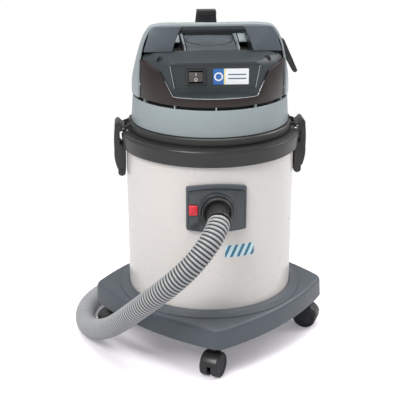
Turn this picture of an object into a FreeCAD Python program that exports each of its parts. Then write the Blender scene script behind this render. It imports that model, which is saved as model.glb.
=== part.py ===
import FreeCAD, Part
import math
import os

V = FreeCAD.Vector

# ------------------------------------------------------------------ driving sizes, millimetres
# Z is up, the floor is Z = 0 and the front of the machine is -Y.  The drum stands on the Z axis.

FIT = 0.05              # radial running clearance of pins, shafts and plugs
GAP = 0.3               # clearance between faces that only lie side by side
SEAT = 0.1              # clearance of parts that sit in a recess or on a curved wall
FAR = 400.0             # cutting blocks reach this far, past every part

# castors
WHEEL_R = 25.0
WHEEL_W = 16.5
WHEEL_GAP = 8.0         # space between the two wheels of a castor
AXLE_R = 3.0
HOOD_GAP = 0.8          # hood to tread
HOOD_WALL = 1.5
CASTOR_TRAIL = 18.5     # swivel axis to wheel axis
CASTOR_INSET = 48.0     # swivel axis to the trolley's unrounded corner
CASTOR_RISE = 21.0      # top of the wheels to the trolley's underside
STEM_R = 5.5
STEM_PLUG = 26.0        # length of stem inside the housing
STEM_ROOF = 8.0         # plastic above the top of a stem
NECK_R = 9.5
CASTOR_TURN = {"front": -118.0, "right": -23.0, "back": 104.0, "left": 197.0}
CORNER_ANGLE = {"front": -90.0, "right": 0.0, "back": 90.0, "left": 180.0}

# trolley base
BASE_H = 44.0           # height of the outer wall
BASE_LIP = 7.0          # the middle of a side stands out this far past the step
BASE_POINT = 47.0       # a corner reaches this far past a side, before it is rounded
BASE_DRAFT = 2.5        # how much further the side stands out at the bottom
BASE_ROUND = 24.0
BASE_RIM = 8.0          # rounding of the top edge
BASE_WALL = 4.0
WELL_FOOT = 6.0         # the well's wall ends this far above the underside
WEB_T = 4.0
SPOKE_T = 3.0
STEP_OUT = 21.0         # the step runs out this far round the drum
STEP_H = 3.5
STEP_RISE = 10.5        # the step climbs this far to the drum
BOSS_R = 12.0

# drum
TANK_R = 175.0
TANK_WALL = 3.5
TANK_SINK = 7.0         # how far the drum sits below the trolley's top
TANK_H = 354.0
TANK_ROUND = 12.0
TANK_SCREW_REACH = 120.0
TANK_SCREW_R = 2.0
TANK_SCREW_BITE = 10.0
TANK_SCREW_HEAD = 4.6
TANK_BOSS_R = 7.0

# collar round the top of the drum
COLLAR_H = 34.3
COLLAR_OUT = 9.0        # lower edge, past the drum
COLLAR_FLARE = 2.5      # how much further the upper edge stands out
COLLAR_LAND = 16.0      # width of the ledge that the head sits on
COLLAR_T = 3.0
COLLAR_HOLD = 2.5       # inner wall against the drum
BEAD_R = 1.6
BEAD_PROUD = 0.6
POCKET_SIDE = 1.8       # the collar's pocket is wider than the latch by this, each side
POCKET_DEEP = 6.0       # room for the head's ears below the collar's top

# head, bottom to top
FLANGE_IN = 6.5         # edge of the flange inside the drum's wall
FLANGE_H = 14.7
HEAD_LIP = 12.0         # width of the flange's top
HEAD_SCREW_R = 2.2
HEAD_SCREW_IN = 8.5     # screw to the inner edge of the flange's top
HEAD_SCREW_BITE = 30.0
HEAD_SCREW_HEAD = 4.4
SEAL_T = 4.3
SEAL_W = 7.0
DECK_T = 5.7
BAND_STEP = 1.0         # shadow gap under the band
BAND_IN = 5.8           # foot of the band inside the flange's edge
BAND_TAPER = 3.3        # how much further in its top is
BAND_H = 52.5
BAND_WALL = 3.0
BAND_POST_R = 5.0
SLOT_H = 6.3            # air slot above the band
RIB_W = 3.0
RIB_COUNT = 12
DOME_OUT = 0.6          # the dome stands out past the band's top edge
DOME_H = 140.0
DOME_WALL = 3.5
DOME_SHOULDER = [(1, 114), (-6, 86), (-15, 60), (-26, 32), (-36, 13), (-44, 4), (-52, 0)]
DOME_BACK = [(-189, 0), (-100, 18), (-68, 26), (-42, 38), (-24, 54), (-10, 78), (2, 110)]
FRONT_IN = 98.0         # the dome begins this far behind its own radius, where the front cover ends
COVER_IN = 2.5          # front cover inside the dome's radius
COVER_WALL = 3.5
COVER_RIM = 19.7        # front rim of the cover below the handle's foot
DECK_DROP = 0.6         # deck below the handle's foot
DECK_FRONT = 27.5       # the deck's slope starts this far behind the cover's front
PANEL_IN = 29.5         # panel behind the cover's front
PANEL_RISE = 27.0       # foot of the panel above the dome's lower edge
PANEL_HALF = 82.0
PANEL_SINK = 3.0
COVER_SCREW_IN = 48.5   # screws inside the cover's radius, each side
COVER_SCREW_FRONT = 31.0    # screws in front of the handle's foot
COVER_SCREW_R = 1.7
COVER_SCREW_HEAD = 4.0
COVER_SCREW_SINK = 5.0
COVER_SCREW_L = 14.0

# carrying handle
HANDLE_H = 47.3         # dome's top down to the handle's foot
HANDLE_IN = 83.0        # face of the handle behind the dome's radius
HANDLE_LEAN = 14.0
HANDLE_FOOT_IN = 24.0   # foot of the handle inside the dome's radius, each side
HANDLE_TOP_IN = 47.0
GRIP_H = 14.0
GRIP_DEPTH = 36.0
WINDOW_FOOT = 77.0
WINDOW_TOP = 60.0

# hand recess in the top
TRAY_HALF = 80.0
TRAY_BACK_IN = 82.0     # back of the recess inside the dome's radius
TRAY_SINK = 9.5         # floor of the recess below the handle's foot
TRAY_WALL = 3.0
RAIL_IN = 26.0
RAIL_T = 6.0
DISC_R = 46.0

# cable hooks
REAR_HOOK_IN = 48.0     # rear hook inside the dome's radius
REAR_HOOK_T = 7.0
REAR_HOOK_UP = 6.5      # its cap above the dome's top
REAR_HOOK_L = 64.5
REAR_HOOK_CAP = 17.0    # the cap reaches this far forward
SIDE_HOOK_Y = 30.0
SIDE_HOOK_W = 18.0
SIDE_HOOK_TOP = 43.0    # top of the side hook below the dome's top
SIDE_HOOK_L = 70.0

# cable gland at the back of the band
GLAND_R = 8.0
GLAND_BORE = 3.8
GLAND_NOSE = 22.0

# latches
LATCH_W = 46.0
LATCH_SIDE = 0.4        # latch to the head's ears
LATCH_L = 106.0         # pin to the tip of the tab
LATCH_TAB = 20.0        # length of the narrow tab at the tip
LATCH_PIN_OUT = 11.5    # pin past the flange's edge
LATCH_PIN_DROP = 14.5   # pin below the top of the head flange
LATCH_PIN_R = 2.0
EAR_T = 4.6

# hose inlet
INLET_DROP = 117.0      # middle of the inlet below the drum's top
INLET_W = 119.0
INLET_H = 88.0
INLET_BOW = 7.0
INLET_DEPTH = 14.0
INLET_WALL = 3.5
INLET_SCREW_IN = 13.5   # screws from the plate's sides
INLET_SCREW_DOWN = 12.0     # screws from its top and bottom edges
INLET_SCREW_R = 1.6
INLET_SCREW_HEAD = 3.6
INLET_SCREW_BITE = 2.0  # screws reach this far out of the drum's widest point
INLET_BOSS_R = 4.5
GASKET_T = 1.5
SOCKET_R = 31.0
SOCKET_BORE = 24.0
SOCKET_OUT = 15.0       # socket's front past the inlet's face
SOCKET_IN = 17.0        # socket's back inside the drum's wall
HOOD_SLEEVE = 6.0
HOOD_DEPTH = 34.0
HOOD_SHELL = 2.5
CUFF_R = 20.0
CUFF_WALL = 2.5
CUFF_L = 18.0           # grip of the hose plug in front of the socket
BUTTON_W = 17.0
BUTTON_H = 20.0
BUTTON_DEEP = 13.0
BUTTON_IN = 13.5        # button from the plate's left side
BUTTON_PROUD = 4.0
SPRING_R = 3.4
SPRING_WIRE = 0.8
SPRING_POCKET = 4.0
SPRING_INSET = 5.0      # spring's front end behind the button's face

# hose
HOSE_R = 22.0
HOSE_WALL = 1.7
TOOL_CUFF_GRIP = 34.0
TOOL_CUFF_L = 70.0
TOOL_CUFF_BORE = 17.5

# switch and label
SWITCH_X = -37.0
SWITCH_RISE = 26.2      # middle of the switch above the panel's foot
SWITCH_W = 40.0
SWITCH_H = 31.0
BEZEL_T = 3.0
ROCKER_W = 27.0
ROCKER_H = 24.0
ROCKER_DEEP = 6.0       # rocker's axis behind the panel
ROCKER_EASE = 2.4       # the ends clear the bezel as the rocker swings
ROCKER_SWING = 16.0
ROCKER_PROUD = 9.0
ROCKER_PIN_R = 1.5
ROCKER_PIN_L = 1.0
LABEL_X = 31.0
LABEL_W = 69.0
LABEL_H = 31.0
LABEL_T = 0.8

# motor
FAN_CASE_R = 72.0
FAN_CASE_H = 42.0
FAN_CASE_WALL = 1.5
MOTOR_R = 46.0
MOTOR_H = 78.0
MOTOR_WALL = 3.0
SHAFT_R = 4.0
IMPELLER_IN = 8.0       # tip of the impeller inside the fan case's radius
ARMATURE_R = 26.0
STATOR_GAP = 1.0
STATOR_H = 40.0
STATOR_RISE = 16.0      # stator above the fan case
ARMATURE_H = 36.0
COMMUTATOR_R = 14.0
COMMUTATOR_H = 10.0
IMPELLER_RISE = 10.0    # impeller above the floor of its case
IMPELLER_H = 15.5
IMPELLER_PLATE = 1.5
MOUTH_R = 20.0          # air way through the head floor
EYE_LIP = 6.0           # inlet of the impeller, past the air way
FOAM_T = 47.4
FOAM_H = 56.0
FOAM_IN = 18.0          # foam inside the band's top edge

# filter and float
FILTER_R = 88.0
FILTER_WALL = 16.0
FILTER_H = 150.0
FILTER_CAP = 5.0
CAGE_R = 36.0
CAGE_WALL = 2.5
CAGE_FLOOR = 3.0
CAGE_HOLE_R = 12.0
BALL_R = 24.0
BALL_WALL = 2.0
FLOAT_RISE = 29.0       # travel of the ball until it nearly shuts the air way

# ------------------------------------------------------------------ sizes that follow
STEP_R = TANK_R + STEP_OUT
BASE_SIDE = STEP_R + BASE_LIP
BASE_CORNER = BASE_SIDE + BASE_POINT
CASTOR_REACH = BASE_CORNER - CASTOR_INSET
BASE_Z = 2 * WHEEL_R + CASTOR_RISE
BASE_TOP = BASE_Z + BASE_H
WELL_R = TANK_R + SEAT
TANK_Z = BASE_TOP - TANK_SINK
TANK_TOP = TANK_Z + TANK_H
COLLAR_R = TANK_R + COLLAR_OUT
COLLAR_TOP_R = COLLAR_R + COLLAR_FLARE
COLLAR_TOP = TANK_TOP + COLLAR_T
COLLAR_Z = COLLAR_TOP - COLLAR_H
FLANGE_R = TANK_R - FLANGE_IN
FLANGE_Z = COLLAR_TOP + SEAL_T
FLANGE_TOP = FLANGE_Z + FLANGE_H
HEAD_SCREW_REACH = FLANGE_R - HEAD_LIP - HEAD_SCREW_IN
BAND_R = FLANGE_R - BAND_IN
BAND_TOP_R = BAND_R - BAND_TAPER
BAND_Z = FLANGE_TOP + BAND_STEP
BAND_TOP = BAND_Z + BAND_H
DOME_R = BAND_TOP_R + DOME_OUT
DOME_Z = BAND_TOP + SLOT_H
DOME_TOP = DOME_Z + DOME_H
FRONT_Y = FRONT_IN - DOME_R
COVER_R = DOME_R - COVER_IN
PANEL_Y = PANEL_IN - COVER_R
PANEL_FOOT = DOME_Z + PANEL_RISE
HANDLE_FOOT = DOME_TOP - HANDLE_H
DECK_TOP = HANDLE_FOOT - DECK_DROP
HANDLE_FRONT = HANDLE_IN - DOME_R
HANDLE_HALF_FOOT = DOME_R - HANDLE_FOOT_IN
HANDLE_HALF_TOP = DOME_R - HANDLE_TOP_IN
GRIP_Z = DOME_TOP - DOME_WALL - GAP - GRIP_H
TRAY_GRIP_END = HANDLE_FRONT + HANDLE_LEAN + GRIP_DEPTH - 4
TRAY_BACK = DOME_R - TRAY_BACK_IN
TRAY_FLOOR = HANDLE_FOOT - TRAY_SINK
SWITCH_Z = PANEL_FOOT + SWITCH_RISE
ROCKER_Y = PANEL_Y + PANEL_SINK + ROCKER_DEEP
LATCH_PIN_X = FLANGE_R + LATCH_PIN_OUT
LATCH_PIN_Z = FLANGE_TOP - LATCH_PIN_DROP
INLET_Z = TANK_TOP - INLET_DROP
INLET_R = TANK_R + INLET_DEPTH
GASKET_R = TANK_R + GAP + GASKET_T
SOCKET_FRONT = INLET_R + SOCKET_OUT
SOCKET_BACK = TANK_R - SOCKET_IN
CUFF_END = SOCKET_FRONT + CUFF_L
BUTTON_X = BUTTON_IN - INLET_W / 2
IMPELLER_R = FAN_CASE_R - IMPELLER_IN
EYE_R = MOUTH_R + EYE_LIP
DECK_Z = FLANGE_Z + DECK_T
MOTOR_Z = DECK_Z
CAN_Z = MOTOR_Z + FAN_CASE_H
CAN_TOP = CAN_Z + MOTOR_H
BALL_SHUT_Z = FLANGE_Z - math.sqrt(BALL_R ** 2 - MOUTH_R ** 2) - GAP
BALL_Z = BALL_SHUT_Z - FLOAT_RISE
CAGE_Z = BALL_Z - math.sqrt(BALL_R ** 2 - CAGE_HOLE_R ** 2) - GAP - CAGE_FLOOR

# the hose leaves its plug, drops past the trolley and lies on the floor behind the machine
HOSE_POINTS = [
    (0, -CUFF_END, INLET_Z), (0, -CUFF_END - 24, INLET_Z), (-8, -CUFF_END - 47, INLET_Z - 10),
    (-26, -CUFF_END - 67, INLET_Z - 33), (-55, -CUFF_END - 77, INLET_Z - 67),
    (-92, -CUFF_END - 72, INLET_Z - 105), (-126, -273, 203), (-159, -240, 162),
    (-190, -197, 118), (-217, -147, 77), (-244, -91, 44), (-269, -34, 22),
    (-281, 34, 22), (-266, 104, 22), (-225, 166, 22), (-172, 226, 22),
    (-132, 300, 22), (-75, 366, 22), (5, 408, 22), (95, 430, 22),
    (180, 480, 22), (240, 560, 22), (262, 660, 22), (238, 760, 22),
    (165, 835, 22), (65, 868, 22), (-40, 872, 22),
]


# ------------------------------------------------------------------ helpers
def cyl(r, z0, z1, x=0.0, y=0.0):
    return Part.makeCylinder(r, z1 - z0, V(x, y, z0))


def ring(r_out, r_in, z0, z1, x=0.0, y=0.0):
    return cyl(r_out, z0, z1, x, y).cut(cyl(r_in, z0 - 1, z1 + 1, x, y))


def box(x0, x1, y0, y1, z0, z1):
    return Part.makeBox(x1 - x0, y1 - y0, z1 - z0, V(x0, y0, z0))


def cyl_y(r, y0, y1, x, z):
    return Part.makeCylinder(r, y1 - y0, V(x, y0, z), V(0, 1, 0))


def revolve(points):
    wire = Part.makePolygon([V(r, 0, z) for r, z in points + points[:1]])
    return Part.Face(wire).revolve(V(0, 0, 0), V(0, 0, 1), 360)


def prism_y(points, y0, y1):
    """Extrude an outline drawn in X and Z from y0 to y1."""
    wire = Part.makePolygon([V(x, y0, z) for x, z in points + points[:1]])
    return Part.Face(wire).extrude(V(0, y1 - y0, 0))


def prism_x(points, x0, x1):
    """Extrude an outline drawn in Y and Z from x0 to x1."""
    wire = Part.makePolygon([V(x0, y, z) for y, z in points + points[:1]])
    return Part.Face(wire).extrude(V(x1 - x0, 0, 0))


def turned(shape, degrees, x=0.0, y=0.0):
    copy = shape.copy()
    copy.rotate(V(x, y, 0), V(0, 0, 1), degrees)
    return copy


def moved(shape, x, y, z):
    copy = shape.copy()
    copy.translate(V(x, y, z))
    return copy


def edges_where(shape, test):
    return [edge for edge in shape.Edges if test(edge)]


def group(shapes):
    return Part.makeCompound(shapes)


def save(name, shape):
    solids = shape.Solids
    if not solids or not all(solid.isValid() for solid in solids):
        raise ValueError("bad solid: " + name)
    if len(solids) == 1:
        shape = solids[0]
    shape.exportStep("parts/" + name + ".step")
    print(name, len(solids), "solids", round(shape.Volume))


# ------------------------------------------------------------------ trolley and castors
def base_outline(z0, z1, inset):
    """A square stood on its corner, with bowed and drafted sides."""
    half = BASE_CORNER / math.sqrt(2)
    bow = BASE_SIDE - half
    bend = (half ** 2 + bow ** 2) / (2 * bow)
    away = bend - BASE_SIDE
    shape = None
    for k in range(4):
        a = math.radians(45 + 90 * k)
        low = bend - inset + BASE_DRAFT * (BASE_TOP - z0) / BASE_H
        high = bend - inset + BASE_DRAFT * (BASE_TOP - z1) / BASE_H
        spot = V(-away * math.cos(a), -away * math.sin(a), z0)
        side = Part.makeCone(low, high, z1 - z0, spot)
        shape = side if shape is None else shape.common(side)
    return shape


def is_upright(edge):
    d = edge.Vertexes[-1].Point - edge.Vertexes[0].Point
    return len(edge.Vertexes) == 2 and abs(d.z) > 0.9 * d.Length


def corner_spot(name):
    a = math.radians(CORNER_ANGLE[name])
    return CASTOR_REACH * math.cos(a), CASTOR_REACH * math.sin(a)


def base_trolley():
    body = base_outline(BASE_Z, BASE_TOP, 0)
    body = body.makeFillet(BASE_ROUND, edges_where(body, is_upright))
    rim = edges_where(body, lambda e: abs(e.BoundBox.ZMin - BASE_TOP) < 0.01)
    body = body.makeFillet(BASE_RIM, rim)
    hollow = base_outline(BASE_Z, BASE_TOP - BASE_WALL, BASE_WALL)
    hollow = hollow.makeFillet(BASE_ROUND - BASE_WALL, edges_where(hollow, is_upright))
    floor_z = TANK_Z - BASE_WALL
    keep = cyl(WELL_R + BASE_WALL, BASE_Z + WELL_FOOT, BASE_TOP)
    keep = keep.cut(cyl(WELL_R, BASE_Z, floor_z))
    hollow = hollow.cut(keep)
    for name in CORNER_ANGLE:
        x, y = corner_spot(name)
        hollow = hollow.cut(cyl(BOSS_R, BASE_Z, BASE_TOP, x, y))
        web = box(WELL_R, BASE_CORNER, -WEB_T / 2, WEB_T / 2, BASE_Z + BASE_WALL, BASE_TOP)
        hollow = hollow.cut(turned(web, CORNER_ANGLE[name]))
        spoke = box(0, TANK_R, -SPOKE_T / 2, SPOKE_T / 2, BASE_Z + 2 * WELL_FOOT, TANK_Z)
        hollow = hollow.cut(turned(spoke, CORNER_ANGLE[name]))
    body = body.cut(hollow)
    foot_z = BASE_TOP - BASE_WALL + 1
    step = revolve([(WELL_R - BASE_WALL, foot_z), (STEP_R, foot_z), (STEP_R, BASE_TOP + STEP_H - 1),
                    (STEP_R - 1, BASE_TOP + STEP_H), (WELL_R + 2, BASE_TOP + STEP_RISE),
                    (WELL_R - BASE_WALL, BASE_TOP + STEP_RISE)])
    body = body.fuse(step)
    body = body.cut(cyl(WELL_R, TANK_Z, TANK_TOP))
    for name in CORNER_ANGLE:
        x, y = corner_spot(name)
        body = body.cut(cyl(STEM_R + FIT, BASE_Z - 1, BASE_TOP - STEM_ROOF, x, y))
    for x, y in tank_screw_spots():
        body = body.cut(cyl(TANK_SCREW_R + 0.6, BASE_Z, TANK_Z + 1, x, y))
    return body.removeSplitter()


def four_spots(reach):
    """Four places round the drum's axis, halfway between the castors."""
    spots = []
    for k in range(4):
        a = math.radians(45 + 90 * k)
        spots.append((reach * math.cos(a), reach * math.sin(a)))
    return spots


def tank_screw_spots():
    return four_spots(TANK_SCREW_REACH)


def castor_stems():
    stems = []
    for name in CORNER_ANGLE:
        x, y = corner_spot(name)
        top = BASE_TOP - STEM_ROOF - GAP
        stem = cyl(STEM_R, BASE_Z - STEM_PLUG, top, x, y)
        stem = stem.makeChamfer(1.0, edges_where(stem, lambda e: abs(e.BoundBox.ZMin - top) < 0.01))
        stems.append(stem)
    return group(stems)


def castor_axle_spot(name):
    x, y = corner_spot(name)
    a = math.radians(CASTOR_TURN[name])
    return x + CASTOR_TRAIL * math.cos(a), y + CASTOR_TRAIL * math.sin(a)


def in_castor(shape, name):
    """Place a castor piece drawn with its swivel axis on Z and its trail along +X."""
    x, y = corner_spot(name)
    return moved(turned(shape, CASTOR_TURN[name]), x, y, 0)


def castor_housing():
    hood_in = WHEEL_R + HOOD_GAP
    hood_out = hood_in + HOOD_WALL
    half = WHEEL_GAP / 2 + WHEEL_W * 0.82
    web = WHEEL_GAP / 2 - 0.6
    shell = cyl_y(hood_out, -half, half, CASTOR_TRAIL, WHEEL_R)
    inside_a = cyl_y(hood_in, -half - 1, -web, CASTOR_TRAIL, WHEEL_R)
    inside_b = cyl_y(hood_in, web, half + 1, CASTOR_TRAIL, WHEEL_R)
    shell = shell.cut(inside_a).cut(inside_b)
    far = CASTOR_TRAIL + hood_out + 1
    open_part = prism_y([(CASTOR_TRAIL + 4, -5), (far, -5), (far, WHEEL_R + 6),
                         (CASTOR_TRAIL + 8, WHEEL_R + 2), (CASTOR_TRAIL - 16, 6), (CASTOR_TRAIL - 16, -5)],
                        -half - 1, half + 1)
    keep_hub = cyl_y(3 * AXLE_R, -web, web, CASTOR_TRAIL, WHEEL_R)
    shell = shell.cut(open_part.cut(keep_hub))
    neck = cyl(NECK_R, WHEEL_R + 10, BASE_Z - GAP)
    wheel_room = cyl_y(hood_in, -half - 1, half + 1, CASTOR_TRAIL, WHEEL_R)
    neck = neck.cut(wheel_room)
    tie = box(-NECK_R, CASTOR_TRAIL, -web, web, WHEEL_R + 8, BASE_Z - 8)
    body = shell.fuse(neck).fuse(tie.cut(wheel_room))
    body = body.cut(cyl(STEM_R + FIT, BASE_Z - STEM_PLUG - 1, BASE_Z + 1))
    body = body.cut(cyl_y(AXLE_R, -web - 1, web + 1, CASTOR_TRAIL, WHEEL_R))
    return body.removeSplitter()


def castor_axle():
    half = WHEEL_GAP / 2 + WHEEL_W * 0.8
    return cyl_y(AXLE_R, -half, half, CASTOR_TRAIL, WHEEL_R)


def castor_wheel(side):
    near = WHEEL_GAP / 2
    far = near + WHEEL_W
    wheel = cyl_y(WHEEL_R, near, far, CASTOR_TRAIL, WHEEL_R)
    wheel = wheel.makeFillet(2.0, wheel.Edges[0:1] + wheel.Edges[2:3])
    dish = cyl_y(WHEEL_R - 5, far - 1.2, far + 1, CASTOR_TRAIL, WHEEL_R)
    hub = cyl_y(WHEEL_R - 7, near - 1, near + 7, CASTOR_TRAIL, WHEEL_R)
    hub = hub.cut(cyl_y(AXLE_R + 4, near - 2, near + 8, CASTOR_TRAIL, WHEEL_R))
    bore = cyl_y(AXLE_R + FIT, near - 1, near + WHEEL_W * 0.86, CASTOR_TRAIL, WHEEL_R)
    wheel = wheel.cut(dish).cut(hub).cut(bore)
    if side < 0:
        wheel = wheel.mirror(V(0, 0, 0), V(0, 1, 0))
    return wheel


# ------------------------------------------------------------------ drum and collar
def tank():
    out = cyl(TANK_R, TANK_Z, TANK_TOP)
    foot = edges_where(out, lambda e: abs(e.BoundBox.ZMax - TANK_Z) < 0.01)
    out = out.makeFillet(TANK_ROUND, foot)
    inn = cyl(TANK_R - TANK_WALL, TANK_Z + TANK_WALL, TANK_TOP + 1)
    foot = edges_where(inn, lambda e: abs(e.BoundBox.ZMax - TANK_Z - TANK_WALL) < 0.01)
    inn = inn.makeFillet(TANK_ROUND - TANK_WALL, foot)
    for x, y in tank_screw_spots():
        inn = inn.cut(cyl(TANK_BOSS_R, TANK_Z, TANK_Z + TANK_WALL + TANK_SCREW_BITE + 2, x, y))
    body = out.cut(inn)
    for x, y in tank_screw_spots():
        body = body.cut(cyl(TANK_SCREW_R, TANK_Z - 1, TANK_Z + TANK_SCREW_BITE + 1, x, y))
    for x, z in inlet_screw_spots():
        body = body.cut(cyl_y(INLET_SCREW_R + 0.4, -INLET_R, 0, x, z))
    return body.cut(cyl_y(SOCKET_R + 1.0, -INLET_R, 0, 0, INLET_Z))


def tank_screws():
    screws = []
    floor_z = TANK_Z - BASE_WALL
    for x, y in tank_screw_spots():
        head = cyl(TANK_SCREW_HEAD, floor_z - 3, floor_z, x, y)
        screws.append(head.fuse(cyl(TANK_SCREW_R - FIT, floor_z - 1, TANK_Z + TANK_SCREW_BITE, x, y)))
    return group(screws)


def latch_pocket(side):
    """Room for a latch: through the collar's wall, but only into the edge of the land on the rim."""
    slot = LATCH_W / 2 + POCKET_SIDE
    wide = LATCH_W / 2 + EAR_T + 3.2
    pocket = box(WELL_R + SEAT, FAR, -slot, slot, TANK_TOP, FLANGE_TOP)
    pocket = pocket.fuse(box(WELL_R - COLLAR_T, FAR, -slot, slot, COLLAR_Z - 5, TANK_TOP))
    pocket = pocket.fuse(box(LATCH_PIN_X - 9, FAR, -wide, wide, COLLAR_TOP - POCKET_DEEP, FLANGE_TOP))
    return pocket if side > 0 else turned(pocket, 180)


def tank_collar():
    body = revolve([(WELL_R, COLLAR_Z), (COLLAR_R - 1, COLLAR_Z), (COLLAR_R, COLLAR_Z + 1),
                    (COLLAR_TOP_R, COLLAR_TOP - 3), (COLLAR_TOP_R, COLLAR_TOP),
                    (TANK_R - COLLAR_LAND, COLLAR_TOP), (TANK_R - COLLAR_LAND, TANK_TOP),
                    (WELL_R, TANK_TOP)])
    bead = Part.makeTorus(COLLAR_TOP_R - BEAD_R + BEAD_PROUD, BEAD_R, V(0, 0, COLLAR_TOP))
    body = body.fuse(bead)
    groove = ring(COLLAR_R - COLLAR_T, WELL_R + COLLAR_HOLD, COLLAR_Z - 1, COLLAR_TOP - 8)
    body = body.cut(groove)
    for side in (1, -1):
        body = body.cut(latch_pocket(side))
    return body


# ------------------------------------------------------------------ hose inlet
def inlet_outline(inset, y0, y1):
    """Rounded plate with a bowed top and bottom edge, drawn in X and Z."""
    w = INLET_W / 2 - inset
    h = INLET_H / 2 - inset
    top_left = V(-w, y0, INLET_Z + h)
    top_right = V(w, y0, INLET_Z + h)
    low_left = V(-w, y0, INLET_Z - h)
    low_right = V(w, y0, INLET_Z - h)
    top = Part.Arc(top_left, V(0, y0, top_left.z + INLET_BOW), top_right).toShape()
    low = Part.Arc(low_right, V(0, y0, low_left.z - INLET_BOW * 0.4), low_left).toShape()
    right = Part.LineSegment(top_right, low_right).toShape()
    left = Part.LineSegment(low_left, top_left).toShape()
    return Part.Face(Part.Wire([top, right, low, left])).extrude(V(0, y1 - y0, 0))


def inlet_housing():
    plate = inlet_outline(0, -INLET_R - 5, 0)
    plate = plate.makeFillet(5.0, edges_where(plate, lambda e: e.BoundBox.YLength > INLET_DEPTH))
    shell = ring(INLET_R, GASKET_R, INLET_Z - INLET_H, INLET_Z + INLET_H)
    body = plate.common(shell)
    hub = cyl_y(SOCKET_R + 4.0, -SOCKET_FRONT + 8, 0, 0, INLET_Z)
    hub = hub.cut(cyl(GASKET_R, INLET_Z - INLET_H, INLET_Z + INLET_H))
    body = body.fuse(hub)
    core = inlet_outline(INLET_WALL, -INLET_R - 5, 0)
    core = core.common(ring(INLET_R - INLET_WALL, TANK_R, INLET_Z - INLET_H, INLET_Z + INLET_H))
    keep = cyl_y(SOCKET_R + 5.0, -INLET_R - 5, 0, 0, INLET_Z)
    for x, z in inlet_screw_spots():
        keep = keep.fuse(cyl_y(INLET_BOSS_R, -INLET_R - 5, 0, x, z))
    body = body.cut(core.cut(keep))
    body = body.cut(cyl_y(SOCKET_R + FIT, -SOCKET_FRONT - 5, 0, 0, INLET_Z))
    body = body.cut(button_block(GAP, FAR))
    for x, z in inlet_screw_spots():
        body = body.cut(cyl_y(INLET_SCREW_R, inlet_screw_tip() - 1, 0, x, z))
    return body


def button_block(grow, depth):
    front = -math.sqrt(INLET_R ** 2 - BUTTON_X ** 2) - BUTTON_PROUD
    return box(BUTTON_X - BUTTON_W / 2 - grow, BUTTON_X + BUTTON_W / 2 + grow, front, front + depth,
               INLET_Z - BUTTON_H / 2 - grow, INLET_Z + BUTTON_H / 2 + grow)


def inlet_button():
    body = button_block(0, BUTTON_DEEP)
    front = body.BoundBox.YMin
    body = body.makeFillet(1.5, edges_where(body, lambda e: abs(e.BoundBox.YMax - front) < 0.01))
    pocket = cyl_y(SPRING_POCKET, front + SPRING_INSET, front + BUTTON_DEEP + 1, BUTTON_X, INLET_Z)
    return body.cut(pocket)


def button_spring():
    front = button_block(0, BUTTON_DEEP).BoundBox.YMin + SPRING_INSET
    back = -math.sqrt((TANK_R + 1.0) ** 2 - BUTTON_X ** 2)
    body = cyl_y(SPRING_R, front + GAP, back - GAP, BUTTON_X, INLET_Z)
    return body.cut(cyl_y(SPRING_R - SPRING_WIRE, front, back, BUTTON_X, INLET_Z))


def inlet_screw_spots():
    x = INLET_W / 2 - INLET_SCREW_IN
    z = INLET_H / 2 - INLET_SCREW_DOWN
    return [(side * x, INLET_Z + end * z) for side in (-1, 1) for end in (-1, 1)]


def inlet_screw_tip():
    return -TANK_R - INLET_SCREW_BITE


def inlet_gasket():
    body = inlet_outline(1.0, -INLET_R, 0)
    body = body.common(ring(GASKET_R - SEAT, WELL_R, INLET_Z - INLET_H, INLET_Z + INLET_H))
    body = body.cut(cyl_y(SOCKET_R + 0.8, -SOCKET_FRONT, 0, 0, INLET_Z))
    middle = inlet_outline(9.0, -INLET_R, 0)
    body = body.cut(middle.cut(cyl_y(SOCKET_R + 8, -SOCKET_FRONT, 0, 0, INLET_Z)))
    for x, z in inlet_screw_spots():
        body = body.cut(cyl_y(INLET_SCREW_R + 0.8, -INLET_R, 0, x, z))
    return body.cut(button_block(2.0, FAR))


def inlet_socket():
    body = cyl_y(SOCKET_R, -SOCKET_FRONT, -SOCKET_BACK, 0, INLET_Z)
    body = body.makeFillet(2.0, edges_where(body, lambda e: abs(e.BoundBox.YMax + SOCKET_FRONT) < 0.01))
    return body.cut(cyl_y(SOCKET_BORE + FIT, -SOCKET_FRONT - 1, -SOCKET_BACK + 1, 0, INLET_Z))


def inlet_screws():
    screws = []
    for x, z in inlet_screw_spots():
        edge = abs(x) + INLET_SCREW_HEAD
        seat = SEAT - math.sqrt((TANK_R - TANK_WALL) ** 2 - edge ** 2)
        head = cyl_y(INLET_SCREW_HEAD, seat, seat + 2.4, x, z)
        screws.append(head.fuse(cyl_y(INLET_SCREW_R - FIT, inlet_screw_tip(), seat + 1, x, z)))
    return group(screws)


def inlet_deflector():
    """A hood sleeved on the back of the socket that turns the air down into the drum."""
    r_out = SOCKET_R + 6
    closed = -SOCKET_BACK + HOOD_DEPTH
    body = cyl_y(r_out, -SOCKET_BACK - HOOD_SLEEVE, closed, 0, INLET_Z)
    body = body.cut(cyl_y(r_out - HOOD_SHELL, -SOCKET_BACK + 1, closed - HOOD_SHELL, 0, INLET_Z))
    body = body.cut(cyl_y(SOCKET_R + SEAT, -SOCKET_BACK - HOOD_SLEEVE - 1, -SOCKET_BACK + 2, 0, INLET_Z))
    return body.cut(box(-r_out, r_out, -SOCKET_BACK + 4, closed - HOOD_SHELL, INLET_Z - r_out, INLET_Z - 8))


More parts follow.
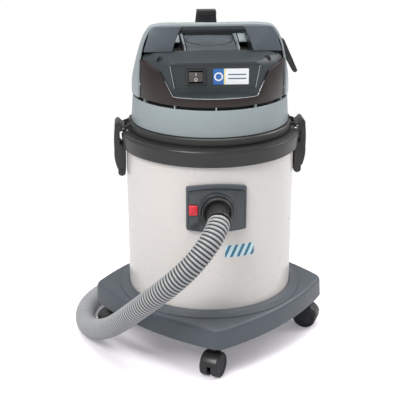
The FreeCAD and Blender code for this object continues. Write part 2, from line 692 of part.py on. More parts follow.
def hose_connector():
    """Plug that clicks into the socket, with a ribbed grip in front of it."""
    body = cyl_y(SOCKET_BORE, -SOCKET_FRONT + 2, -SOCKET_BACK - HOOD_SLEEVE, 0, INLET_Z)
    body = body.fuse(cyl_y(CUFF_R, -CUFF_END, -SOCKET_FRONT + 3, 0, INLET_Z))
    for k in range(5):
        y = -CUFF_END + 3 + 6 * k
        body = body.fuse(cyl_y(CUFF_R + 1.0, y, y + 2.5, 0, INLET_Z))
    return body.cut(cyl_y(CUFF_R - CUFF_WALL, -CUFF_END - 1, -SOCKET_BACK, 0, INLET_Z))


# ------------------------------------------------------------------ hose
def hose_path(points):
    """Straight runs joined by tangent arcs; the arc takes 0.45 of the shorter run."""
    p = [V(*q) for q in points]
    edges = []
    start = p[0]
    total = 0.0
    for i in range(1, len(p) - 1):
        a = p[i] - p[i - 1]
        b = p[i + 1] - p[i]
        turn = a.getAngle(b)
        reach = 0.45 * min(a.Length, b.Length)
        radius = reach / math.tan(turn / 2)
        a.normalize()
        b.normalize()
        enter = p[i] - a * reach
        leave = p[i] + b * reach
        half = (b - a)
        half.normalize()
        middle = p[i] + half * (radius / math.cos(turn / 2) - radius)
        edges.append(Part.LineSegment(start, enter).toShape())
        edges.append(Part.Arc(enter, middle, leave).toShape())
        total += (enter - start).Length + radius * turn
        start = leave
        print("hose point", i, "radius", round(radius), "turn", round(math.degrees(turn)))
    edges.append(Part.LineSegment(start, p[-1]).toShape())
    total += (p[-1] - start).Length
    return Part.Wire(edges), total


def pipe(path, points, radius):
    start = V(*points[0])
    heading = V(*points[1]) - start
    circle = Part.Wire(Part.makeCircle(radius, start, heading))
    return path.makePipeShell([circle], True, False)


def hose():
    path, total = hose_path(HOSE_POINTS)
    body = pipe(path, HOSE_POINTS, HOSE_R).cut(pipe(path, HOSE_POINTS, HOSE_R - HOSE_WALL))
    section = math.pi * (HOSE_R ** 2 - (HOSE_R - HOSE_WALL) ** 2)
    print("hose length", round(total), "volume ratio", round(body.Volume / (section * total), 4))
    return body


def hose_tool_cuff():
    """Tapered cuff at the far end that takes the wand or a tool."""
    end = V(*HOSE_POINTS[-1])
    heading = end - V(*HOSE_POINTS[-2])
    heading.normalize()
    grip = Part.makeCylinder(HOSE_R, TOOL_CUFF_GRIP, end, heading)
    start = TOOL_CUFF_GRIP - 1
    tip_r = TOOL_CUFF_BORE + CUFF_WALL
    cone = Part.makeCone(HOSE_R - 0.5, tip_r, TOOL_CUFF_L - start, end + heading * start, heading)
    body = grip.fuse(cone)
    return body.cut(Part.makeCylinder(TOOL_CUFF_BORE, TOOL_CUFF_L + 2, end - heading, heading))


# ------------------------------------------------------------------ head
def head_base():
    """Black floor of the head: flange, motor deck, filter spigot and latch ears."""
    rim_r = FLANGE_R - HEAD_LIP
    body = revolve([(MOUTH_R, FLANGE_Z), (FLANGE_R - 1.5, FLANGE_Z), (FLANGE_R, FLANGE_Z + 1.5),
                    (FLANGE_R, FLANGE_TOP - 2), (FLANGE_R - 2, FLANGE_TOP), (rim_r, FLANGE_TOP),
                    (rim_r, DECK_Z), (MOUTH_R, DECK_Z)])
    skirt_r = TANK_R - COLLAR_LAND - 2.0
    body = body.fuse(ring(skirt_r, skirt_r - 3, FLANGE_Z - 18, FLANGE_Z + 1))
    spigot_r = FILTER_R - FILTER_WALL - SEAT
    body = body.fuse(ring(spigot_r, spigot_r - 3, FLANGE_Z - 16, FLANGE_Z + 1))
    for side in (1, -1):
        r = FLANGE_R
        top = FLANGE_TOP
        peak = prism_y([(r - 9, top - 6), (r, top - 8), (r, top - 1), (r - 2.5, top + 3), (r - 4.5, top + 3),
                        (r - 4.5, top - 2), (r - 9, top - 2)], -LATCH_W / 2 + 4, LATCH_W / 2 - 4)
        ears = []
        for y0 in (-LATCH_W / 2 - LATCH_SIDE - EAR_T, LATCH_W / 2 + LATCH_SIDE):
            x = LATCH_PIN_X
            z = LATCH_PIN_Z
            ear = prism_y([(r - 8, FLANGE_Z + 1), (r, FLANGE_Z + 1), (x, z - 4.2), (x + 4.2, z - 1),
                           (x + 4.2, z + 2), (x + 1, z + 4.5), (r - 8, top - 3)], y0, y0 + EAR_T)
            ears.append(ear)
        lugs = peak.fuse(ears)
        lugs = lugs.cut(cyl_y(LATCH_PIN_R, -LATCH_W, LATCH_W, LATCH_PIN_X, LATCH_PIN_Z))
        body = body.fuse(lugs if side > 0 else turned(lugs, 180))
    for x, y in head_screw_spots():
        body = body.cut(cyl(HEAD_SCREW_R, FLANGE_Z - 1, FLANGE_TOP + 1, x, y))
    return body.removeSplitter()


def head_screw_spots():
    return four_spots(HEAD_SCREW_REACH)


def head_screws():
    """Screws up through the head floor into the posts of the band."""
    screws = []
    for x, y in head_screw_spots():
        head = cyl(HEAD_SCREW_HEAD, FLANGE_Z - 2.6, FLANGE_Z, x, y)
        screws.append(head.fuse(cyl(HEAD_SCREW_R - FIT, FLANGE_Z - 1, BAND_Z + HEAD_SCREW_BITE, x, y)))
    return group(screws)


def head_seal():
    r_in = TANK_R - COLLAR_LAND + 1.0
    return ring(r_in + SEAL_W, r_in, COLLAR_TOP, FLANGE_Z)


def band_r(z):
    return BAND_R + (BAND_TOP_R - BAND_R) * (z - BAND_Z) / BAND_H


def head_band():
    body = revolve([(BAND_R - BAND_WALL, BAND_Z), (BAND_R - 1, BAND_Z), (BAND_R, BAND_Z + 1),
                    (BAND_TOP_R, BAND_TOP - 1), (BAND_TOP_R - 1, BAND_TOP),
                    (BAND_TOP_R - BAND_WALL, BAND_TOP)])
    body = body.fuse(ring(BAND_R - BAND_WALL + 1, FLANGE_R - HEAD_LIP + 1, FLANGE_TOP, BAND_Z + 4))
    foot = ring(BAND_TOP_R - BAND_WALL + 1, BAND_TOP_R - 12, BAND_TOP - 3, BAND_TOP)
    body = body.fuse(foot)
    for k in range(RIB_COUNT):
        rib = box(BAND_TOP_R - 9, BAND_TOP_R - 1.2, -RIB_W / 2, RIB_W / 2, BAND_TOP - 1, DOME_Z)
        body = body.fuse(turned(rib, 360 / RIB_COUNT * k))
    for x, y in head_screw_spots():
        post = cyl(BAND_POST_R, DECK_Z, BAND_TOP, x, y)
        arm = box(HEAD_SCREW_REACH - 2, BAND_TOP_R - 1.5, -2, 2, FLANGE_TOP, BAND_TOP)
        post = post.fuse(turned(arm, math.degrees(math.atan2(y, x))))
        body = body.fuse(post)
    for x, y in head_screw_spots():
        body = body.cut(cyl(HEAD_SCREW_R, DECK_Z - 1, BAND_Z + HEAD_SCREW_BITE + 1, x, y))
    gland = gland_spot()
    body = body.cut(cyl_y(GLAND_R + FIT, gland[1] - 20, gland[1] + 20, gland[0], gland[2]))
    return body.removeSplitter()


def gland_spot():
    z = BAND_Z + BAND_H / 2
    return 0.0, band_r(z), z


def cable_gland():
    x, y, z = gland_spot()
    body = cyl_y(GLAND_R, y - 8, y + 3, x, z).fuse(cyl_y(GLAND_R + 3, y + 1.0, y + 4, x, z))
    body = body.fuse(Part.makeCone(GLAND_R - 1, GLAND_BORE + 1.4, GLAND_NOSE, V(x, y + 3.5, z), V(0, 1, 0)))
    return body.cut(cyl_y(GLAND_BORE, 0, FAR, x, z))


def dome_solid(inset):
    """Common of a drum, a tapering front view and a sloping side view."""
    r = DOME_R - inset
    top = DOME_TOP - inset
    front = [(r + 1, DOME_Z)] + [(r + out, top - drop) for out, drop in DOME_SHOULDER]
    front = front + [(-x, z) for x, z in reversed(front)]
    back = [(r + out, top - drop) for out, drop in DOME_BACK]
    side = [(-FAR, DOME_Z), (-FAR, top)] + back + [(r + 2, DOME_Z)]
    return cyl(r, DOME_Z, top + 5).common(prism_y(front, -FAR, FAR)).common(prism_x(side, -FAR, FAR))


def head_shell():
    body = dome_solid(0)
    body = body.cut(dome_solid(DOME_WALL))
    front_cut = prism_x([(-FAR, DOME_Z - 1), (FRONT_Y, DOME_Z - 1), (FRONT_Y, HANDLE_FOOT + 2),
                         (HANDLE_FRONT + HANDLE_LEAN + 6, DOME_TOP + 1), (-FAR, DOME_TOP + 1)], -FAR, FAR)
    body = body.cut(front_cut)
    grip_back = HANDLE_FRONT + HANDLE_LEAN + GRIP_DEPTH
    half = TRAY_HALF + GAP
    opening = box(-half, half, grip_back - 6, TRAY_BACK + GAP, HANDLE_FOOT, DOME_TOP + 5)
    body = body.cut(opening)
    foot = ring(DOME_R - 1, DOME_R - 12, DOME_Z, DOME_Z + 3).cut(box(-FAR, FAR, -FAR, FRONT_Y, 0, DOME_TOP))
    body = body.fuse(foot)
    return largest(body)


def largest(shape):
    return max(shape.Solids, key=lambda solid: solid.Volume)


def hand_tray():
    """Tray under the grip: floor, two side walls and a back wall."""
    top = DOME_TOP - DOME_WALL - GAP
    front = FRONT_Y + GAP
    back = TRAY_BACK
    outer = box(-TRAY_HALF, TRAY_HALF, front, back, TRAY_FLOOR - TRAY_WALL, top)
    outer = outer.common(dome_solid(DOME_WALL + GAP))
    half = TRAY_HALF - TRAY_WALL
    inner = box(-half, half, front - 5, back - TRAY_WALL, TRAY_FLOOR, top + 5)
    body = outer.cut(inner)
    body = body.cut(box(-TRAY_HALF - 1, TRAY_HALF + 1, front - 1, TRAY_GRIP_END, GRIP_Z - GAP, top + 5))
    rail_end = back - TRAY_WALL - 1
    rise = prism_x([(front + 40, TRAY_FLOOR - 1), (rail_end, TRAY_FLOOR - 1), (rail_end, TRAY_FLOOR + 16)],
                   -TRAY_HALF + RAIL_IN, TRAY_HALF - RAIL_IN)
    body = body.fuse(rise)
    for side in (-1, 1):
        x0 = side * (TRAY_HALF - RAIL_IN)
        x1 = x0 + side * RAIL_T
        rail = prism_x([(front + 10, TRAY_FLOOR - 1), (rail_end, TRAY_FLOOR - 1), (rail_end, TRAY_FLOOR + 30),
                        (front + 60, TRAY_FLOOR + 20), (front + 10, TRAY_FLOOR + 6)],
                       min(x0, x1), max(x0, x1))
        body = body.fuse(rail)
    slope = math.atan2(16 + 1, rail_end - front - 40)
    lean = V(0, -math.sin(slope), math.cos(slope))
    disc = Part.makeCylinder(DISC_R, 3.0, V(0, rail_end - 48, TRAY_FLOOR + 5), lean)
    body = body.fuse(disc)
    return body.removeSplitter()


def carry_handle():
    """Front plate of the handle with the hand window and the grip behind its top edge."""
    top = DOME_TOP - 1.0
    face = prism_x([(HANDLE_FRONT, HANDLE_FOOT), (HANDLE_FRONT + HANDLE_LEAN, top),
                    (HANDLE_FRONT + HANDLE_LEAN + 4, top), (FRONT_Y - GAP, top - 3 - DOME_WALL),
                    (FRONT_Y - GAP, HANDLE_FOOT)], -FAR, FAR)
    outline = prism_y([(-HANDLE_HALF_FOOT, HANDLE_FOOT), (HANDLE_HALF_FOOT, HANDLE_FOOT),
                       (HANDLE_HALF_TOP + 8, top - 14), (HANDLE_HALF_TOP, top - 3),
                       (HANDLE_HALF_TOP - 8, top), (-HANDLE_HALF_TOP + 8, top),
                       (-HANDLE_HALF_TOP, top - 3), (-HANDLE_HALF_TOP - 8, top - 14)], -FAR, 0)
    body = face.common(outline)
    grip = box(-TRAY_HALF + 4, TRAY_HALF - 4, HANDLE_FRONT + 8, TRAY_GRIP_END - 2, GRIP_Z, GRIP_Z + GRIP_H)
    body = body.fuse(grip)
    window = prism_y([(-WINDOW_FOOT, HANDLE_FOOT - 1), (WINDOW_FOOT, HANDLE_FOOT - 1),
                      (WINDOW_FOOT - 4, HANDLE_FOOT + 12), (WINDOW_TOP, GRIP_Z - 3),
                      (WINDOW_TOP - 10, GRIP_Z), (-WINDOW_TOP + 10, GRIP_Z),
                      (-WINDOW_TOP, GRIP_Z - 3), (-WINDOW_FOOT + 4, HANDLE_FOOT + 12)], -FAR, 0)
    body = body.cut(window)
    return body.removeSplitter()


def cover_solid(inset):
    """Front cover before it is hollowed: a drum with a sloping top, cut off at the dome."""
    rim_z = HANDLE_FOOT - COVER_RIM
    slope_y, slope_z = deck_break()
    profile = prism_x([(-COVER_R - 1, DOME_Z), (-COVER_R - 1, rim_z), (-COVER_R + 4, rim_z + 4),
                       (slope_y, slope_z), (HANDLE_FRONT, DECK_TOP), (FRONT_Y, DECK_TOP),
                       (FRONT_Y, DOME_Z)], -FAR, FAR)
    profile = moved(profile, 0, 0, -inset) if inset else profile
    return cyl(COVER_R - inset, DOME_Z, DOME_TOP).common(profile)


def deck_break():
    """Where the deck's slope meets its rounded front, in Y and Z."""
    return DECK_FRONT - COVER_R, HANDLE_FOOT - COVER_RIM + 8.5


def front_cover():
    body = cover_solid(0)
    low = PANEL_FOOT
    high = HANDLE_FOOT - 14
    panel_y = PANEL_Y + PANEL_SINK
    back_y = FRONT_Y - COVER_WALL
    thick = PANEL_HALF + 22
    scoop = wedge_y(PANEL_HALF + 6, PANEL_HALF + 15, low - 14, high, -FAR, PANEL_Y)
    inner = wedge_y(PANEL_HALF, PANEL_HALF + 7, low + 3, high - 2, -FAR, panel_y)
    ledge = prism_x([(-FAR, 0), (PANEL_Y, 0), (PANEL_Y, low), (-COVER_R - 1, low - 11), (-FAR, low - 11)],
                    -FAR, FAR)
    hollow = cover_solid(COVER_WALL).cut(box(-thick, thick, -FAR, panel_y + COVER_WALL, DOME_Z, HANDLE_FOOT))
    body = body.cut(hollow.cut(box(-FAR, FAR, back_y, 0, 0, DOME_TOP)))
    body = body.cut(box(COVER_WALL - thick, thick - COVER_WALL, -COVER_R + 14, panel_y + 1,
                        DOME_Z - 1, low - 15))
    body = body.cut(box(-FAR, FAR, back_y - 1, FRONT_Y + 1, DOME_Z - 1, HANDLE_FOOT - 12))
    body = body.cut(scoop.cut(ledge))
    body = body.cut(inner.cut(ledge))
    half_w = ROCKER_W / 2 + 2
    half_h = ROCKER_H / 2 + 1.5
    body = body.cut(box(SWITCH_X - half_w, SWITCH_X + half_w, -FAR, back_y,
                        SWITCH_Z - half_h, SWITCH_Z + half_h))
    for x, y in cover_screw_spots():
        body = body.cut(cyl(COVER_SCREW_HEAD + 1, cover_screw_z(y), DOME_TOP, x, y))
        body = body.cut(cyl(COVER_SCREW_R, DOME_Z - 1, DOME_TOP, x, y))
    return largest(body)


def wedge_y(foot_half, top_half, z0, z1, y0, y1):
    """A block that widens upward, drawn in X and Z."""
    return prism_y([(-foot_half, z0), (foot_half, z0), (top_half, z1), (-top_half, z1)], y0, y1)


def cover_screw_spots():
    x = COVER_R - COVER_SCREW_IN
    y = HANDLE_FRONT - COVER_SCREW_FRONT
    return [(-x, y), (x, y)]


def cover_screw_z(y):
    """Seat of a screw's head in the sloping deck."""
    slope_y, slope_z = deck_break()
    rise = (DECK_TOP - slope_z) / (HANDLE_FRONT - slope_y)
    return slope_z + rise * (y - slope_y) - COVER_SCREW_SINK


def cover_screws():
    screws = []
    for x, y in cover_screw_spots():
        z = cover_screw_z(y)
        head = cyl(COVER_SCREW_HEAD, z, z + 2.4, x, y)
        screws.append(head.fuse(cyl(COVER_SCREW_R - FIT, z - COVER_SCREW_L, z + 1, x, y)))
    return group(screws)


def switch_bezel():
    y = PANEL_Y + PANEL_SINK
    plate = box(SWITCH_X - SWITCH_W / 2, SWITCH_X + SWITCH_W / 2, y - BEZEL_T, y,
                SWITCH_Z - SWITCH_H / 2, SWITCH_Z + SWITCH_H / 2)
    plate = plate.makeFillet(1.0, edges_where(plate, lambda e: abs(e.BoundBox.YMax - y + BEZEL_T) < 0.01))
    sleeve = box(SWITCH_X - ROCKER_W / 2 - 1.7, SWITCH_X + ROCKER_W / 2 + 1.7, y - 2, y + 26,
                 SWITCH_Z - ROCKER_H / 2 - 1.2, SWITCH_Z + ROCKER_H / 2 + 1.2)
    body = plate.fuse(sleeve)
    body = body.cut(box(SWITCH_X - ROCKER_W / 2 - GAP, SWITCH_X + ROCKER_W / 2 + GAP, y - 9, y + 22,
                        SWITCH_Z - ROCKER_H / 2 - GAP, SWITCH_Z + ROCKER_H / 2 + GAP))
    return body.cut(rocker_pin(FIT, 1))


def rocker_pin(grow, extra):
    half = ROCKER_W / 2 + GAP + ROCKER_PIN_L + extra
    start = V(SWITCH_X - half, ROCKER_Y, SWITCH_Z)
    return Part.makeCylinder(ROCKER_PIN_R + grow, 2 * half, start, V(1, 0, 0))


def switch_rocker():
    """Rocker drawn with its lower half proud; it swings about X."""
    w = ROCKER_W / 2
    h = ROCKER_H / 2 - ROCKER_EASE
    lean = math.tan(math.radians(ROCKER_SWING / 2))
    front = ROCKER_Y - ROCKER_PROUD
    body = prism_x([(ROCKER_Y + 3, SWITCH_Z + h - 3), (front + h * lean + 0.6, SWITCH_Z + h),
                    (front, SWITCH_Z), (front - h * lean, SWITCH_Z - h + 0.6),
                    (ROCKER_Y + 3, SWITCH_Z - h + 3), (ROCKER_Y + 5, SWITCH_Z)],
                   SWITCH_X - w, SWITCH_X + w)
    return body.fuse(rocker_pin(0, 0))


def label_plate():
    y = PANEL_Y + PANEL_SINK
    return box(LABEL_X - LABEL_W / 2, LABEL_X + LABEL_W / 2, y - LABEL_T, y,
               SWITCH_Z - LABEL_H / 2, SWITCH_Z + LABEL_H / 2)


def rear_hook():
    """Cable hook on the back slope of the dome; its cap curls to the front."""
    y0 = DOME_R - REAR_HOOK_IN
    y1 = y0 + REAR_HOOK_T
    top = DOME_TOP + REAR_HOOK_UP
    plate = wedge_y(27, 20, top - REAR_HOOK_L, top, y0, y1)
    cap = wedge_y(20.5, 20, top - 5, top, y0 - REAR_HOOK_CAP, y1)
    lip = wedge_y(20.6, 20.5, top - 10, top - 4, y0 - REAR_HOOK_CAP, y0 - REAR_HOOK_CAP + 4)
    body = plate.fuse(cap).fuse(lip)
    body = body.cut(dome_solid(-SEAT))
    return largest(body)


def side_hook():
    """Cable hook on the right flank: a strap that leans away from the dome."""
    r = DOME_R
    top_z = DOME_TOP - SIDE_HOOK_TOP
    low_z = top_z - SIDE_HOOK_L
    strap = prism_y([(r - 18, top_z - 4), (r - 10, top_z), (r - 3, top_z - 2), (r + 27, low_z + 2),
                     (r + 23, low_z - 2), (r + 17, low_z), (r - 5, top_z - 30), (r - 20, top_z - 24)],
                    SIDE_HOOK_Y, SIDE_HOOK_Y + SIDE_HOOK_W)
    body = strap.cut(dome_solid(-SEAT))
    return largest(body)


# ------------------------------------------------------------------ motor and silencer
def motor_fan_case():
    body = cyl(FAN_CASE_R, MOTOR_Z, CAN_Z)
    body = body.makeFillet(4.0, edges_where(body, lambda e: abs(e.BoundBox.ZMin - CAN_Z) < 0.01))
    body = body.cut(cyl(FAN_CASE_R - FAN_CASE_WALL, MOTOR_Z + FAN_CASE_WALL, CAN_Z - 4))
    body = body.cut(cyl(MOUTH_R, MOTOR_Z - 1, MOTOR_Z + 3))
    body = body.cut(cyl(SHAFT_R + 5, CAN_Z - 10, CAN_Z + 1))
    for k in range(8):
        port = box(FAN_CASE_R - 6, FAN_CASE_R + 2, -9, 9, CAN_Z - 18, CAN_Z - 8)
        body = body.cut(turned(port, 45 * k + 22.5))
    return body


def motor_housing():
    body = ring(MOTOR_R, MOTOR_R - MOTOR_WALL, CAN_Z, CAN_TOP)
    lid = ring(MOTOR_R - 1, SHAFT_R + FIT, CAN_TOP - 8, CAN_TOP - 4)
    floor = ring(MOTOR_R - 1, SHAFT_R + FIT, CAN_Z, CAN_Z + 4)
    body = body.fuse([lid, floor])
    for k in range(4):
        port = box(MOTOR_R - 8, MOTOR_R + 3, -10, 10, CAN_Z + 14, CAN_Z + 52)
        body = body.cut(turned(port, 90 * k + 45))
        leg = box(MOTOR_R - 2, FAN_CASE_R - 8, -4, 4, CAN_Z, CAN_Z + 5)
        body = body.fuse(turned(leg, 90 * k))
    return body


def motor_stator():
    """Two field poles clamped inside the can."""
    stator_z = CAN_Z + STATOR_RISE
    body = ring(MOTOR_R - MOTOR_WALL - SEAT, ARMATURE_R + STATOR_GAP, stator_z, stator_z + STATOR_H)
    return body.cut(box(-MOTOR_R, MOTOR_R, -9, 9, CAN_Z, CAN_TOP))


def motor_shaft():
    return cyl(SHAFT_R, MOTOR_Z + 6, CAN_TOP + 8)


def motor_armature():
    low = CAN_Z + STATOR_RISE + (STATOR_H - ARMATURE_H) / 2
    body = ring(ARMATURE_R, SHAFT_R, low, low + ARMATURE_H)
    return body.fuse(ring(COMMUTATOR_R, SHAFT_R, low - COMMUTATOR_H, low + 1))


def motor_impeller():
    z = MOTOR_Z + IMPELLER_RISE
    top = z + IMPELLER_H
    body = ring(IMPELLER_R, SHAFT_R, top - IMPELLER_PLATE, top)
    body = body.fuse(ring(IMPELLER_R, EYE_R, z, z + IMPELLER_PLATE))
    body = body.fuse(ring(SHAFT_R + 6, SHAFT_R, z + 4, top - 0.5))
    for k in range(8):
        vane = box(EYE_R + 4, IMPELLER_R - 2, -0.8, 0.8, z + 1, top - 0.5)
        vane = turned(vane, -38, EYE_R + 4, 0)
        body = body.fuse(turned(vane, 45 * k).common(cyl(IMPELLER_R - 0.5, z, top)))
    return body


def cooling_fan():
    z = CAN_TOP - 2
    body = ring(11, SHAFT_R, z, z + 8).fuse(ring(MOTOR_R - 8, SHAFT_R, z, z + 1.5))
    for k in range(9):
        blade = box(9, MOTOR_R - 9, -0.7, 0.7, z + 1, z + 8)
        body = body.fuse(turned(blade, 40 * k))
    return body


def silencer_foam():
    r_out = BAND_TOP_R - FOAM_IN
    return ring(r_out, r_out - FOAM_T, DECK_Z, DECK_Z + FOAM_H)


# ------------------------------------------------------------------ filter and float
def filter_cartridge():
    top = FLANGE_Z
    low = top - FILTER_H
    body = ring(FILTER_R, FILTER_R - FILTER_WALL, low, top)
    return body.fuse(cyl(FILTER_R, low, low + FILTER_CAP))


def float_cage():
    top = FLANGE_Z
    low = CAGE_Z
    body = ring(CAGE_R, CAGE_R - CAGE_WALL, low, top)
    body = body.fuse(ring(CAGE_R, CAGE_HOLE_R, low, low + CAGE_FLOOR))
    body = body.fuse(ring(CAGE_R + 10, CAGE_R - 1, top - 3, top))
    for k in range(6):
        slot = box(CAGE_R - 8, CAGE_R + 4, -11, 11, low + 9, top - 12)
        body = body.cut(turned(slot, 60 * k))
    return body


def float_ball():
    ball = Part.makeSphere(BALL_R, V(0, 0, BALL_Z))
    return ball.cut(Part.makeSphere(BALL_R - BALL_WALL, V(0, 0, BALL_Z)))


# ------------------------------------------------------------------ latches
def latch_profile():
    """Side view of the right latch in X and Z."""
    z = LATCH_PIN_Z
    x = LATCH_PIN_X
    inner = TANK_R + 1.4
    tip = z - LATCH_L
    tab = tip + LATCH_TAB
    return [(x + 11.5, z + 12.5), (x + 18, z + 3), (x + 20, z - 15), (x + 20, tab + 11), (x + 14.5, tab + 1),
            (x + 13.5, tip + 4), (x + 10, tip), (x + 1, tip), (x - 2, tip + 4), (inner, tab),
            (inner, z - 42), (x + 2, z - 39), (x + 8.5, z - 33), (x + 8.5, z - 9), (x, z - 4.4),
            (x - 4.0, z - 1.5), (x - 4.0, z + 1.5), (x - 1.5, z + 4.4), (x + 2.5, z + 4.6)]


def latch(side):
    body = prism_y(latch_profile(), -LATCH_W / 2, LATCH_W / 2)
    tip = LATCH_PIN_Z - LATCH_L
    tab_cut = box(0, FAR, LATCH_W / 2 - 8, LATCH_W / 2 + 1, tip - 4, tip + LATCH_TAB)
    body = body.cut(tab_cut).cut(tab_cut.mirror(V(0, 0, 0), V(0, 1, 0)))
    body = body.cut(cyl_y(LATCH_PIN_R + FIT, -LATCH_W, LATCH_W, LATCH_PIN_X, LATCH_PIN_Z))
    return body if side > 0 else turned(body, 180)


def latch_pins():
    half = LATCH_W / 2 + LATCH_SIDE + EAR_T
    return group([cyl_y(LATCH_PIN_R, -half, half, side * LATCH_PIN_X, LATCH_PIN_Z) for side in (1, -1)])


# ------------------------------------------------------------------ write every piece
def main():
    os.makedirs("parts", exist_ok=True)
    save("base_trolley", base_trolley())
    save("castor_stems", castor_stems())
    for name in CORNER_ANGLE:
        save("castor_" + name + "_housing", in_castor(castor_housing(), name))
        save("castor_" + name + "_axle", in_castor(castor_axle(), name))
        save("castor_" + name + "_wheel_a", in_castor(castor_wheel(1), name))
        save("castor_" + name + "_wheel_b", in_castor(castor_wheel(-1), name))
    save("tank", tank())
    save("tank_screws", tank_screws())
    save("tank_collar", tank_collar())
    save("inlet_housing", inlet_housing())
    save("inlet_gasket", inlet_gasket())
    save("inlet_socket", inlet_socket())
    save("inlet_button", inlet_button())
    save("button_spring", button_spring())
    save("inlet_screws", inlet_screws())
    save("inlet_deflector", inlet_deflector())
    save("hose_connector", hose_connector())
    save("hose", hose())
    save("hose_tool_cuff", hose_tool_cuff())
    save("head_base", head_base())
    save("head_screws", head_screws())
    save("head_seal", head_seal())
    save("head_band", head_band())
    save("cable_gland", cable_gland())
    save("head_shell", head_shell())
    save("hand_tray", hand_tray())
    save("carry_handle", carry_handle())
    save("front_cover", front_cover())
    save("cover_screws", cover_screws())
    save("switch_bezel", switch_bezel())
    save("switch_rocker", switch_rocker())
    save("label_plate", label_plate())
    save("rear_hook", rear_hook())
    save("side_hook", side_hook())
    save("motor_fan_case", motor_fan_case())
    save("motor_housing", motor_housing())
    save("motor_stator", motor_stator())
    save("motor_shaft", motor_shaft())
    save("motor_armature", motor_armature())
    save("motor_impeller", motor_impeller())
    save("cooling_fan", cooling_fan())
    save("silencer_foam", silencer_foam())
    save("filter_cartridge", filter_cartridge())
    save("float_cage", float_cage())
    save("float_ball", float_ball())
    save("latch_left", latch(-1))
    save("latch_right", latch(1))
    save("latch_pins", latch_pins())


main()
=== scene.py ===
import math
from collections import namedtuple
from functools import partialmethod

import bmesh
import bpy
from bpy.props import FloatProperty, FloatVectorProperty, IntProperty, PointerProperty
from mathutils import Matrix, Vector


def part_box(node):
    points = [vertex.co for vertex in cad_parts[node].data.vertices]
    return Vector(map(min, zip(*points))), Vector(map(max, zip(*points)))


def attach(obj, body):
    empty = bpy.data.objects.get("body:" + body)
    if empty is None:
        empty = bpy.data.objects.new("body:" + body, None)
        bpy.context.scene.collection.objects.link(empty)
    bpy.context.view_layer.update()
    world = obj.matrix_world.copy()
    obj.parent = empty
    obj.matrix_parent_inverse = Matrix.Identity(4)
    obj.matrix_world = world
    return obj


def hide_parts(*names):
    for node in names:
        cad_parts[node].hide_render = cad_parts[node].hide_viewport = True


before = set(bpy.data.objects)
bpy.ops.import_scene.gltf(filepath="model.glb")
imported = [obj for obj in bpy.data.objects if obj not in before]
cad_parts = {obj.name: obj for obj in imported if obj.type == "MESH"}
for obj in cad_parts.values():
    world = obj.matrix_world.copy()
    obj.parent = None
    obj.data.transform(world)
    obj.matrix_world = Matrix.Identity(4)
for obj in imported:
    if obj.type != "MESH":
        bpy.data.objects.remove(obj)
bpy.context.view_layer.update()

bl_info = {
    "name": "Shop Vacuum Builder",
    "version": (1, 0, 0),
    "blender": (4, 5, 0),
    "location": "View3D > Sidebar > Vacuum",
    "description": "Models the shells, hose, castors and finishes of a shop vacuum round its packed frame",
    "category": "Object",
}

# ---------------- lengths, in millimetres by default
MM = 0.001              # a millimetre in Blender's metres
TINY = 0.01             # radius that stands for a pole until it is merged
MERGE = 0.04            # points nearer than this are one
FAR = 200               # cutters reach this far from the axis
BEYOND = 10             # cutters stand out this far past a face that they open
QUARTER = math.pi / 2
ARC_MIDDLE = 0.293      # a quarter round's middle lies this share of its radius from either side

Corner = namedtuple("Corner", "x y z")


def box(node):
    """Lowest and highest corner of a CAD node."""
    return [Corner(*(value / MM for value in corner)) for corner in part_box(node)]


TANK_LOW, TANK_HIGH = box("tank")
SHELL_LOW, SHELL_HIGH = box("head_shell")
HANDLE_LOW, HANDLE_HIGH = box("carry_handle")
SOCKET_LOW, SOCKET_HIGH = box("inlet_socket")

PORT = (SOCKET_LOW.z + SOCKET_HIGH.z) / 2       # height of the suction port's axis
PORT_ENDS = (0, -250, PORT), (0, -120, PORT)    # ends of the rods that open the port
DECK = 635.9            # height of the front cover's deck at the handle
DECK_EDGE = -77.0       # the deck slopes down in front of this
DECK_SLOPE = 0.2
PANEL = -125.0          # plane that the switch and the label lie on
PANEL_FRAME = -128.5    # front of the frame round the panel
CASTOR_REACH = 202      # from the axis of the vacuum to a castor's stem
HOSE_RADIUS = 22.0
HOSE_ROUTE = [
    (0, -222, 345), (0, -246, 345), (-8, -269, 335), (-26, -289, 312), (-55, -299, 278),
    (-92, -294, 240), (-126, -273, 203), (-159, -240, 162), (-190, -197, 118), (-217, -147, 77),
    (-244, -91, 44), (-269, -34, 22), (-281, 34, 22), (-266, 104, 22), (-225, 166, 22), (-172, 226, 22),
    (-132, 300, 22), (-75, 366, 22), (5, 408, 22), (95, 430, 22), (180, 480, 22), (240, 560, 22),
    (262, 660, 22), (238, 760, 22), (165, 835, 22), (65, 868, 22), (-40, 872, 22),
]


# ---------------- settings a user may change
class HoseSettings(bpy.types.PropertyGroup):
    """Sizes of the ribbed hose."""

    pitch: FloatProperty(name="Rib pitch", description="Distance from rib to rib", default=0.0072,
                         unit="LENGTH")
    depth: FloatProperty(name="Groove depth", description="How deep the grooves are", default=0.0018,
                         unit="LENGTH")
    neck: FloatProperty(name="Neck", description="Length of the dark neck at the inlet", default=0.026,
                        unit="LENGTH")


